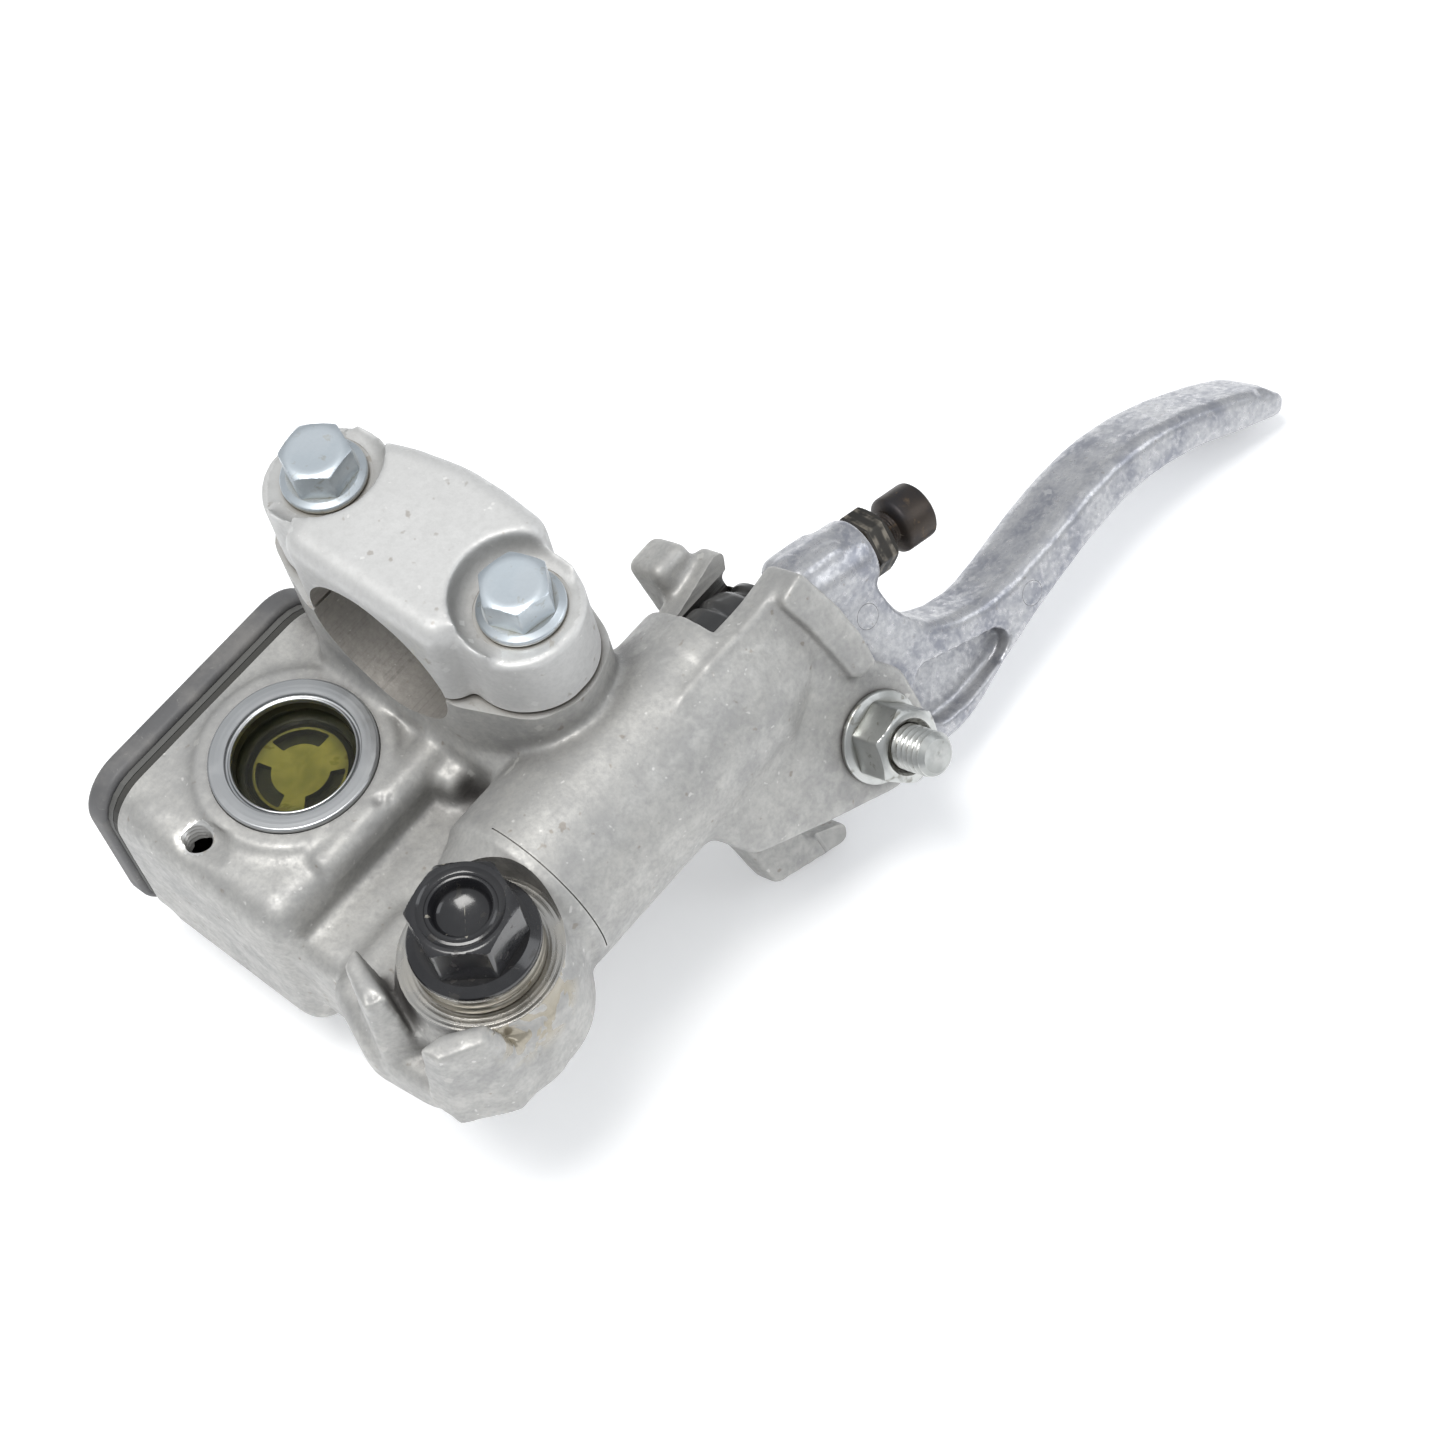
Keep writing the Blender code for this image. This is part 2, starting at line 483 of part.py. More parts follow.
def hex_bolt(name, matrix, af, flange_r, flange_h, head_h, shank_r, shank_len, dimple, mat, phase=0.0):
    """Flanged hexagon bolt, local z = 0 at the under side of the flange."""
    ring = af * 0.5 * 1.02
    obj = turned(name, matrix,
                 [(0, flange_h + 0.5), (flange_r * 0.72, flange_h + 0.45), (flange_r, flange_h * 0.55),
                  (flange_r, 0.0), (shank_r, 0.0), (shank_r, -shank_len + 0.8),
                  (shank_r - 0.6, -shank_len), (0, -shank_len)], 28, mat=mat, smooth=32)
    hexa = plate(name + "_hex", matrix, hexagon(af, phase), flange_h * 0.4, head_h, **CUT)
    cone = turned(name + "_cone", matrix,
                  [(0, head_h), (ring * 0.96, head_h), (ring * 1.28, head_h - af * 0.11),
                   (ring * 1.28, 0.1), (0, 0.1)], 28, **CUT)
    boolean(hexa, cone, "INTERSECT")
    join(obj, hexa)
    if dimple:
        cut(obj, turned(name + "_dimple", matrix,
                        [(0, head_h + 1.0), (dimple[0], head_h + 1.0), (dimple[0], head_h - 0.01),
                         (dimple[0] * 0.8, head_h - dimple[1] * 0.7), (0, head_h - dimple[1])], 24, **CUT))
    return obj


for sy, tag in ((1, "upper"), (-1, "lower")):
    hex_bolt("clamp_bolt_" + tag, axis_frame((0, sy * BOLT_Y, SEAT_Z + 0.15), (0, 0, 1), (1, 0, 0)),
             8.0, 5.5, 1.3, 5.6, 2.98, 22.0, (2.4, 0.35), "zinc", math.radians(8 if sy > 0 else -12))

# ================================================================ banjo fitting
turned("banjo_washer_lower", axis_frame((*BANJO, BANJO_SEAT_Z + 0.1), (0, 0, 1), (1, 0, 0)),
       [(5.3, 1.35), (7.9, 1.35), (8.05, 1.2), (8.05, 0.15), (7.9, 0), (5.3, 0)], 36,
       mat="copper_washer", smooth=35)
turned("banjo_washer_upper", axis_frame((*BANJO, BANJO_SEAT_Z + 1.6), (0, 0, 1), (1, 0, 0)),
       [(5.3, 1.35), (7.9, 1.35), (8.05, 1.2), (8.05, 0.15), (7.9, 0), (5.3, 0)], 36,
       mat="copper_washer", smooth=35)
BANJO_Z = BANJO_SEAT_Z + 3.1
hex_bolt("banjo_bolt", axis_frame((*BANJO, BANJO_Z), (0, 0, 1), (1, 0, 0)),
         12.0, 8.4, 1.9, 8.6, 4.95, 13.0, (3.5, 2.4), "black_oxide", math.radians(10))

# ================================================================ lever
lever_root = bpy.data.objects.new("lever_pivot", None)
main.objects.link(lever_root)
lever_root.parent = root
lever_root.matrix_local = PIVOT


def lv(points):
    return [(x - PIVOT_X, q - PIVOT_Q) for x, q in points]


LEVER_OUTLINE = [
    (30.2, 5.6), (38.6, 3.6), (41.0, 0.6), (40.0, -5.6), (40.3, -10.6), (43.2, -15.6), (49.0, -19.2),
    (56.0, -20.6), (64.0, -20.6), (73.0, -20.2), (80.0, -20.6), (87.0, -22.3), (94.0, -25.2),
    (101.0, -29.0), (105.6, -32.0), (107.8, -34.6), (105.8, -37.4), (98.0, -33.6), (91.9, -30.4),
    (85.0, -27.8), (79.0, -26.6), (68.6, -26.6), (58.0, -27.8), (49.1, -29.4), (42.0, -31.2),
    (36.0, -31.0), (30.0, -27.2), (24.0, -25.0), (18.6, -21.6), (17.6, -15.0), (21.0, -10.4),
    (26.6, -8.0), (29.4, -4.0)]
LEVER_RADII = [2, 2.5, 3, 5, 7, 8, 12, 20, 20, 20, 20, 20, 20, 20, 6, 1.6, 1.6, 20, 20, 20, 20, 20,
               20, 20, 10, 8, 12, 8, 6, 6, 6, 6, 6]
lever = plate("brake_lever", Matrix.Identity(4), round_corners(lv(LEVER_OUTLINE), LEVER_RADII, 1),
              -4.1, 4.1, bevel=1.7, segments=2, parent=lever_root, mat="cast_lever")
join(lever, cylinder("add_hub", (0, 0, 0), (0, 0, 1), 7.6, -HUB_H, HUB_H, segments=32,
                     parent=lever_root, **CUT))
adj_local = (ADJ_POINT[0] - PIVOT_X, ADJ_POINT[1] - PIVOT_Q, 0.0)
ADJ_LOCAL = axis_frame(adj_local, (math.cos(ADJ_TILT), math.sin(ADJ_TILT), 0), (0, 0, 1))
boss = turned("add_adjuster_boss", ADJ_LOCAL,
              [(0, 0.0), (4.4, 0.0), (4.9, -0.5), (4.9, -10.6), (4.2, -11.4), (0, -11.4)], 28,
              parent=lever_root, **CUT)
join(lever, boss)
cut(lever, cylinder("cut_lever_pivot", (0, 0, 0), (0, 0, 1), 3.05, -9, 9, segments=24,
                    parent=lever_root, **CUT))
cut(lever, turned("cut_adjuster_thread", ADJ_LOCAL, [(0, 5), (2.55, 5), (2.55, -20), (0, -20)], 20,
                  parent=lever_root, **CUT))
POCKET = [(38.6, -19.4), (43.6, -21.2), (51.0, -23.6), (56.4, -24.6), (50.0, -26.6), (42.6, -28.8),
          (38.4, -28.4), (35.6, -25.4)]
for tag, h0, h1 in (("near", 2.0, 8.0), ("far", -8.0, -2.0)):
    cut(lever, plate("cut_pocket_" + tag, Matrix.Identity(4), round_corners(
        lv(POCKET), [1.5, 3, 4, 0.8, 4, 2, 2, 2], 2), h0, h1, parent=lever_root, **CUT))

# pivot fasteners, on the bracket
PIV_AXIS = axis_frame(in_bore(PIVOT_X, PIVOT_Q), P_DIR, (1, 0, 0))
hex_bolt("pivot_bolt", axis_frame(in_bore(PIVOT_X, PIVOT_Q, -CHEEK_OUT - 0.15), -P_DIR, (1, 0, 0)),
         8.0, 5.6, 1.3, 5.4, 2.93, 0.2 + 2 * CHEEK_OUT + 11.6, (2.2, 0.3), "zinc_dull", 0.3)
nut = turned("pivot_nut", PIV_AXIS,
             [(3.05, CHEEK_OUT + 0.15), (6.1, CHEEK_OUT + 0.15), (6.1, CHEEK_OUT + 0.9),
              (4.6, CHEEK_OUT + 1.7), (3.05, CHEEK_OUT + 1.7)][::-1], 28, mat="zinc_dull", smooth=32)
nut_hex = plate("add_nut_hex", PIV_AXIS, hexagon(9.2, 0.2), CHEEK_OUT + 0.8, CHEEK_OUT + 6.4, **CUT)
boolean(nut_hex, turned("cut_nut_cone", PIV_AXIS,
                        [(0, CHEEK_OUT + 6.4), (4.5, CHEEK_OUT + 6.4), (5.8, CHEEK_OUT + 5.5),
                         (5.8, CHEEK_OUT), (0, CHEEK_OUT)], 28, **CUT), "INTERSECT")
join(nut, nut_hex)
cut(nut, cylinder("cut_nut_thread", in_bore(PIVOT_X, PIVOT_Q), P_DIR, 3.03, CHEEK_OUT - 2,
                  CHEEK_OUT + 9, segments=24, **CUT))

# ================================================================ adjuster
adj_root = bpy.data.objects.new("adjuster_axis", None)
main.objects.link(adj_root)
adj_root.parent = lever_root
adj_root.matrix_local = ADJ_LOCAL
turned("adjuster_screw", Matrix.Identity(4),
       [(0, 11.3), (3.1, 11.3), (3.6, 10.8), (3.6, 6.4), (3.2, 5.9), (2.45, 5.9), (2.45, -11.9),
        (1.9, -13.2), (0, -13.7)], 28, parent=adj_root, mat="black_worn", smooth=32)
lock = plate("adjuster_lock_nut", ADJ_LOCAL, hexagon(8.0, 0.26), 0.15, 3.9, parent=lever_root,
             mat="black_oxide")
boolean(lock, turned("cut_lock_cone", ADJ_LOCAL,
                     [(0, 3.9), (3.95, 3.9), (4.8, 3.3), (4.8, 0.7), (3.95, 0.15), (0, 0.15)], 28,
                     parent=lever_root, **CUT), "INTERSECT")
cut(lock, turned("cut_lock_thread", ADJ_LOCAL, [(0, 9), (2.52, 9), (2.52, -5), (0, -5)], 20,
                 parent=lever_root, **CUT))

# ================================================================ cylinder internals
turned("piston", BORE_AXIS,
       [(0, 27.4), (1.2, 27.4), (2.6, 27.9), (3.4, 27.9), (3.4, 10.2), (3.8, 9.4), (5.48, 9.4),
        (5.48, 7.2), (3.5, 7.2), (3.5, 4.2), (5.48, 4.2), (5.48, 3.4), (3.7, 3.4), (3.7, -2.6),
        (5.48, -2.6), (5.48, -4.2), (1.9, -4.2), (1.9, -9.4), (0, -9.4)], 24,
       mat="piston_alloy", smooth=35)
turned("secondary_cup", BORE_AXIS,
       [(3.6, 7.0), (4.6, 7.0), (5.5, 4.9), (5.5, 4.4), (4.7, 4.4), (4.5, 5.4), (4.3, 4.4), (3.6, 4.4)],
       24, mat="seal_rubber", smooth=35)
turned("primary_cup", BORE_AXIS,
       [(2.0, -4.35), (5.0, -4.35), (5.5, -6.6), (5.5, -7.2), (4.9, -7.2), (4.2, -5.6), (2.0, -5.6)],
       24, mat="seal_rubber", smooth=35)
turned("spring_seat", BORE_AXIS,
       [(2.0, -5.75), (3.9, -5.75), (3.9, -6.15), (2.9, -6.35), (2.9, -8.8), (2.0, -8.8)], 20,
       mat="plastic", smooth=35)
turned("circlip", BORE_AXIS,
       [(4.1, 10.9), (6.2, 10.9), (6.2, 9.95), (4.1, 9.95)], 32, mat="spring_steel", smooth=35)


def helix(name, r, wire, x0, x1, turns, per_turn, mat):
    curve = bpy.data.curves.new(name, "CURVE")
    curve.dimensions = "3D"
    curve.bevel_depth = wire * MM
    curve.bevel_resolution = 1
    curve.use_fill_caps = True
    n = int(turns * per_turn)
    spline = curve.splines.new("POLY")
    spline.points.add(n)
    for i in range(n + 1):
        t = i / n
        dead = 0.9 / turns
        u = min(max((t - dead) / (1 - 2 * dead), 0.0), 1.0)
        z = x0 + wire + (x1 - x0 - 2 * wire) * (0.11 * min(t / dead, 1.0) + 0.78 * u
                                                + 0.11 * max((t - 1 + dead) / dead, 0.0))
        a = math.tau * turns * t
        spline.points[i].co = (r * math.cos(a) * MM, r * math.sin(a) * MM, z * MM, 1.0)
    tmp = bpy.data.objects.new(name + "_path", curve)
    bpy.context.scene.collection.objects.link(tmp)
    deps = bpy.context.evaluated_depsgraph_get()
    data = bpy.data.meshes.new_from_object(tmp.evaluated_get(deps), depsgraph=deps)
    bpy.data.objects.remove(tmp, do_unlink=True)
    bm = bmesh.new()
    bm.from_mesh(data)
    bmesh.ops.remove_doubles(bm, verts=bm.verts, dist=1e-6)
    bmesh.ops.recalc_face_normals(bm, faces=bm.faces)
    bm.to_mesh(data)
    bm.free()
    data.name = name
    return finish(bpy.data.objects.new(name, data), BORE_AXIS, mat=mat, smooth=60)


helix("return_spring", 4.2, 0.45, -22.2, -6.5, 6.0, 12, "spring_steel")

turned("dust_boot", BORE_AXIS,
       [(8.15, 12.1), (8.15, 13.6), (7.3, 14.6), (7.6, 17.0), (6.5, 18.8), (7.1, 20.4), (5.6, 22.2),
        (6.1, 23.6), (4.8, 25.0), (4.8, 26.8), (3.55, 26.8), (3.55, 25.0), (4.6, 23.6), (4.4, 22.2),
        (5.9, 20.4), (5.3, 18.8), (6.5, 17.0), (6.4, 12.1)], 24, mat="rubber", smooth=40)
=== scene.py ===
import json
import math

import bmesh
import bpy
import numpy as np
from mathutils import Matrix, Vector, noise

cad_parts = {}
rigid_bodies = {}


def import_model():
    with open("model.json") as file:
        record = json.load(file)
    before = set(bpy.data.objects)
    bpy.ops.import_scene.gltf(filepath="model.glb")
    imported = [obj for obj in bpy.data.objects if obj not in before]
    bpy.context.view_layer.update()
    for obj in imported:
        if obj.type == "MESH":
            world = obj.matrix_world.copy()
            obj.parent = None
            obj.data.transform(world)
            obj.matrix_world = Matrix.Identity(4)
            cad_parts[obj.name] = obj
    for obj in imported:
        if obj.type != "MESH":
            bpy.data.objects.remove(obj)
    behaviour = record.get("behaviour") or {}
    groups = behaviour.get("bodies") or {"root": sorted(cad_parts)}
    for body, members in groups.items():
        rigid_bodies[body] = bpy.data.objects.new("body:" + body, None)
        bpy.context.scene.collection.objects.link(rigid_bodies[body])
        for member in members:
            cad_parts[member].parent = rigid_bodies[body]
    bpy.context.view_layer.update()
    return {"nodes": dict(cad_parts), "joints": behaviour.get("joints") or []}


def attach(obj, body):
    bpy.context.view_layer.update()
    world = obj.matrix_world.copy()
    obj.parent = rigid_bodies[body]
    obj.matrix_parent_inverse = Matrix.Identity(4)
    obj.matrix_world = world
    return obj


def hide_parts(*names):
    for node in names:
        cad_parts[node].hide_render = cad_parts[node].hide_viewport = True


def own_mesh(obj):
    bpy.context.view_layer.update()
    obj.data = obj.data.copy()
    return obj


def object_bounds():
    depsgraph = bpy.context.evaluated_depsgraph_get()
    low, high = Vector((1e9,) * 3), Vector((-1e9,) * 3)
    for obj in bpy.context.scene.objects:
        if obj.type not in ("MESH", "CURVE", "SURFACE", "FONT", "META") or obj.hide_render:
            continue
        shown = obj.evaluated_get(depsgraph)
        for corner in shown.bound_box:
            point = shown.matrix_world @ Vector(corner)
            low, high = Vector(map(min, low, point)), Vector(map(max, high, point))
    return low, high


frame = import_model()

# ------------------------------------------------------------------ frames
# Geometry is modelled in millimetres in a frame on the handlebar clamp bore
# (+X along the bar, +Y to the reservoir cap, +Z to the rider) and moved into
# the row frame at the end.  The offset comes from the lever's joint.
JOINT = {j["name"]: j for j in frame["joints"]}
TILT = math.radians(28.0)
X = Vector((1, 0, 0))
Q = Vector((0.0, math.sin(TILT), math.cos(TILT)))
PN = X.cross(Q)
BORE_Y, BORE_Z = -28.0, -17.1
PIVOT_X, PIVOT_Q = 25.7, -17.1
CHEEK_IN, CHEEK_OUT = 5.1, 9.3
HUB_H = 4.75
ADJ_POINT, ADJ_TILT = (41.4, -1.93), math.radians(-14.0)
SIGHT = (-24.4, 6.4)
WALL_Z, RIM_Y = -14.0, 21.0
RES_X0, RES_X1, RES_Z0 = -43.9, -4.6, -43.0
BANJO, BANJO_SEAT_Z = (-31.2, -32.1), -10.6
BAR_R, TUBE_R, BOLT_Y, SEAT_Z, PAD_Z = 11.1, 12.1, 16.3, 10.4, 14.4


def in_bore(x, q, h=0.0):
    return Vector((x, BORE_Y, BORE_Z)) + Q * q + PN * h


ORIGIN = Vector(JOINT["lever_pivot"]["pos_m"]) * 1000.0 - in_bore(PIVOT_X, PIVOT_Q)


def frame_at(origin, xdir, ydir):
    x, y = Vector(xdir).normalized(), Vector(ydir).normalized()
    m = Matrix((x, y, x.cross(y))).transposed().to_4x4()
    m.translation = Vector(origin)
    return m


def axis_at(origin, zdir, hint=None):
    z = Vector(zdir).normalized()
    x = Vector(hint if hint is not None else ((1, 0, 0) if abs(z.x) < 0.9 else Q))
    x = (x - z * x.dot(z)).normalized()
    m = Matrix((x, z.cross(x), z)).transposed().to_4x4()
    m.translation = Vector(origin)
    return m


EYE = Matrix.Identity(4)
BORE = frame_at((0, BORE_Y, BORE_Z), X, Q)
BORE_AXIS = axis_at((0, BORE_Y, BORE_Z), X, Q)
PIVOT = frame_at(in_bore(PIVOT_X, PIVOT_Q), X, Q)
PIV_AXIS = axis_at(in_bore(PIVOT_X, PIVOT_Q), PN, X)
ADJ_DIR = X * math.cos(ADJ_TILT) + Q * math.sin(ADJ_TILT)
ADJ = axis_at(in_bore(*ADJ_POINT), ADJ_DIR, PN)

scratch = bpy.data.collections.new("scratch")
bpy.context.scene.collection.children.link(scratch)


# ------------------------------------------------------------------ mesh tools
def hold(bm, m=None):
    """A bmesh as a scratch object, in design millimetres."""
    if m is not None:
        bmesh.ops.transform(bm, matrix=m, verts=bm.verts)
    bmesh.ops.recalc_face_normals(bm, faces=bm.faces)
    if bm.calc_volume(signed=True) < 0:
        bmesh.ops.reverse_faces(bm, faces=bm.faces)
    mesh = bpy.data.meshes.new("scratch")
    bm.to_mesh(mesh)
    bm.free()
    ob = bpy.data.objects.new("scratch", mesh)
    scratch.objects.link(ob)
    return ob


def box(x, y, z, m=None, bevel=0.0, segments=4):
    bm = bmesh.new()
    bmesh.ops.create_cube(bm, size=1.0)
    size = (x[1] - x[0], y[1] - y[0], z[1] - z[0])
    mid = ((x[1] + x[0]) / 2, (y[1] + y[0]) / 2, (z[1] + z[0]) / 2)
    for v in bm.verts:
        v.co = Vector([v.co[i] * size[i] + mid[i] for i in range(3)])
    if bevel:
        bmesh.ops.bevel(bm, geom=list(bm.edges), offset=bevel, segments=segments, profile=0.5,
                        affect="EDGES", clamp_overlap=True)
    return hold(bm, m)


def spin(profile, m=None, seg=96, af=None, phase=0.0):
    """Closed solid of revolution from (radius, height[, hexagonal]) rings.

    A ring marked hexagonal is clipped by a hexagon af across flats, which gives
    the curved chamfer lines of a real bolt head."""
    pts = [(p[0], p[1], len(p) > 2 and p[2]) for p in profile]
    capped = pts[0][0] < 1e-6 and pts[-1][0] < 1e-6
    rings = [p for p in pts if p[0] >= 1e-6]
    angles = [phase + math.tau * i / seg for i in range(seg)]
    clip = None
    if af:
        clip = [af / 2 / math.cos(((math.tau * i / seg) % (math.pi / 3)) - math.pi / 6) for i in range(seg)]
        clip = [min(c, af / math.sqrt(3.0) * 0.988) for c in clip]
    verts, faces = [], []
    for r, z, hexed in rings:
        for i, a in enumerate(angles):
            rr = min(r, clip[i]) if hexed and clip else r
            verts.append((rr * math.cos(a), rr * math.sin(a), z))
    n = len(rings)
    for k in range(n - 1 if capped or pts[0][0] < 1e-6 or pts[-1][0] < 1e-6 else n):
        j = (k + 1) % n
        for i in range(seg):
            i2 = (i + 1) % seg
            faces.append((k * seg + i, k * seg + i2, j * seg + i2, j * seg + i))
    for end, ring in ((pts[0], 0), (pts[-1], n - 1)):
        if end[0] < 1e-6:
            c = len(verts)
            verts.append((0.0, 0.0, end[1]))
            for i in range(seg):
                faces.append((c, ring * seg + i, ring * seg + (i + 1) % seg))
    bm = bmesh.new()
    vs = [bm.verts.new(v) for v in verts]
    for f in faces:
        bm.faces.new([vs[i] for i in f])
    return hold(bm, m)


def rod(radius, zs, m=None, seg=72):
    """Closed rod whose radius is a function of height and angle, for threads."""
    bm = bmesh.new()
    rows = []
    for z in zs:
        rows.append([bm.verts.new((radius(z, math.tau * i / seg) * math.cos(math.tau * i / seg),
                                   radius(z, math.tau * i / seg) * math.sin(math.tau * i / seg), z))
                     for i in range(seg)])
    for a, b in zip(rows, rows[1:]):
        for i in range(seg):
            bm.faces.new((a[i], a[(i + 1) % seg], b[(i + 1) % seg], b[i]))
    for row, z in ((rows[0], zs[0]), (rows[-1], zs[-1])):
        c = bm.verts.new((0, 0, z))
        for i in range(seg):
            bm.faces.new((c, row[i], row[(i + 1) % seg]))
    return hold(bm, m)


def thread(r, depth, pitch, z0, z1, m=None, plain=None, end=0.7, seg=72, root=None):
    """Rod with a helical V thread.  plain gives the length at the start with no thread."""
    zs = list(np.arange(z0, z1, pitch / 10.0)) + [z1]
    start = z0 if plain is None else plain

    def radius(z, a):
        t = (z / pitch - a / math.tau) % 1.0
        v = min(max(abs(2 * t - 1) * 1.3 - 0.15, 0.0), 1.0)
        fade = min(max((z - start) / (pitch * 0.8), 0.0), 1.0)
        rr = r - depth * v * fade
        if end > 0:
            rr = min(rr, r - end + (z1 - z) * 1.2)
        return rr
    return rod(radius, zs, m, seg)


def cyl(origin, zdir, r, z0, z1, seg=96, r2=None, top=0.0, low=0.0, steps=4):
    """Cylinder or cone along zdir with optional rounded ends."""
    r2 = r if r2 is None else r2
    prof = [(0, z0)]
    if low:
        prof += [(r - low + low * math.sin(a), z0 + low - low * math.cos(a))
                 for a in [math.pi / 2 * k / steps for k in range(steps + 1)]]
    else:
        prof.append((r, z0))
    if top:
        prof += [(r2 - top + top * math.cos(a), z1 - top + top * math.sin(a))
                 for a in [math.pi / 2 * k / steps for k in range(steps + 1)]]
    else:
        prof.append((r2, z1))
    prof.append((0, z1))
    return spin(prof, axis_at(origin, zdir), seg)


def prism(outline, h0, h1, m=None, bevel=0.0, segments=3, low=True):
    bm = bmesh.new()
    vs = [bm.verts.new((x, y, h0)) for x, y in outline]
    f = bm.faces.new(vs)
    top = bmesh.ops.extrude_face_region(bm, geom=[f])
    for v in top["geom"]:
        if isinstance(v, bmesh.types.BMVert):
            v.co.z = h1
    bmesh.ops.recalc_face_normals(bm, faces=bm.faces)
    if bevel:
        rim = [e for e in bm.edges if abs(e.verts[0].co.z - e.verts[1].co.z) < 1e-6
               and (low or e.verts[0].co.z > (h0 + h1) / 2)]
        bmesh.ops.bevel(bm, geom=rim, offset=bevel, segments=segments, profile=0.5,
                        affect="EDGES", clamp_overlap=True)
    return hold(bm, m)


def hull(points, m=None):
    bm = bmesh.new()
    vs = [bm.verts.new(p) for p in points]
    out = bmesh.ops.convex_hull(bm, input=vs)
    bmesh.ops.delete(bm, geom=[g for g in out["geom_interior"] if isinstance(g, bmesh.types.BMVert)],
                     context="VERTS")
    return hold(bm, m)


def round_path(points, radii, steps=5, closed=True):
    if isinstance(radii, (int, float)):
        radii = [radii] * len(points)
    out, n = [], len(points)
    for i in range(n):
        p = Vector(points[i])
        if not closed and i in (0, n - 1):
            out.append(tuple(p))
            continue
        a, b = Vector(points[i - 1]) - p, Vector(points[(i + 1) % n]) - p
        r, ang = radii[i], a.angle(b)
        if r <= 0 or ang > math.radians(176):
            out.append(tuple(p))
            continue
        t = min(r / math.tan(ang / 2), a.length * 0.48, b.length * 0.48)
        r = t * math.tan(ang / 2)
        a.normalize()
        b.normalize()
        c = p + (a + b).normalized() * (r / math.sin(ang / 2))
        s, e = p + a * t - c, p + b * t - c
        sweep = s.angle_signed(e)
        k = max(1, math.ceil(steps * abs(sweep) / (math.pi / 2)))
        for j in range(k + 1):
            th = -sweep * j / k
            out.append((c.x + s.x * math.cos(th) - s.y * math.sin(th),
                        c.y + s.x * math.sin(th) + s.y * math.cos(th)))
    return out


def bake(ob):
    """Modifiers applied to the object's own mesh."""
    bpy.context.view_layer.update()
    deps = bpy.context.evaluated_depsgraph_get()
    mesh = bpy.data.meshes.new_from_object(ob.evaluated_get(deps), depsgraph=deps)
    ob.modifiers.clear()
    ob.data = mesh
    return ob


def open_edges(mesh):
    idx = np.empty(len(mesh.loops), np.int32)
    mesh.loops.foreach_get("edge_index", idx)
    return int((np.bincount(idx, minlength=len(mesh.edges)) != 2).sum())


def combine(ob, tools, op):
    """Boolean of ob with each tool.  Where faces lie on one another the tool is nudged by a
    few microns, and the exact solver is the last resort."""
    for tool in tools:
        before = len(ob.data.polygons)
        best = None
        for solver, nudge in (("MANIFOLD", 0.0), ("MANIFOLD", 0.0037), ("MANIFOLD", -0.0051), ("EXACT", 0.0)):
            tool.location = (nudge, nudge * 0.73, nudge * 1.31)
            mod = ob.modifiers.new("b", "BOOLEAN")
            mod.operation, mod.solver, mod.object = op, solver, tool
            bpy.context.view_layer.update()
            deps = bpy.context.evaluated_depsgraph_get()
            mesh = bpy.data.meshes.new_from_object(ob.evaluated_get(deps), depsgraph=deps)
            ob.modifiers.clear()
            if len(mesh.polygons) in (0, before):
                continue
            bad = open_edges(mesh)
            if best is None or bad < best[0]:
                best = (bad, mesh)
            if bad == 0:
                break
        if best is None:
            print("BOOLEAN had no effect:", op, [round(c, 1) for c in tool.bound_box[0]],
                  [round(c, 1) for c in tool.bound_box[6]])
            continue
        if best[0]:
            print("BOOLEAN left", best[0], "open edges:", op, [round(c, 1) for c in tool.bound_box[0]],
                  [round(c, 1) for c in tool.bound_box[6]])
        ob.data = best[1]
    return ob


def common(ob, keep):
    return combine(ob, [keep], "INTERSECT")


def cut(ob, *tools):
    return combine(ob, tools, "DIFFERENCE")


def join(ob, *tools):
    return combine(ob, tools, "UNION")


def merge(ob, *others):
    """Shells put in one mesh; the skin made from them later is their union."""
    bm = bmesh.new()
    bm.from_mesh(ob.data)
    for other in others:
        bm.from_mesh(other.data)
    bm.to_mesh(ob.data)
    bm.free()
    return ob


def arrays(mesh):
    n = len(mesh.vertices)
    co = np.empty(n * 3, np.float32)
    mesh.vertices.foreach_get("co", co)
    e = np.empty(len(mesh.edges) * 2, np.int32)
    mesh.edges.foreach_get("vertices", e)
    return co.reshape(-1, 3).astype(float), e.reshape(-1, 2)


def normals_of(mesh, co):
    mesh.vertices.foreach_set("co", co.astype(np.float32).ravel())
    mesh.update()
    no = np.empty(len(mesh.vertices) * 3, np.float32)
    mesh.vertex_normals.foreach_get("vector", no)
    return no.reshape(-1, 3).astype(float)


def laplacian(co, e, deg):
    s = np.empty_like(co)
    n = len(co)
    for k in range(3):
        s[:, k] = (np.bincount(e[:, 0], co[e[:, 1], k], n) + np.bincount(e[:, 1], co[e[:, 0], k], n))
    return s / deg[:, None] - co


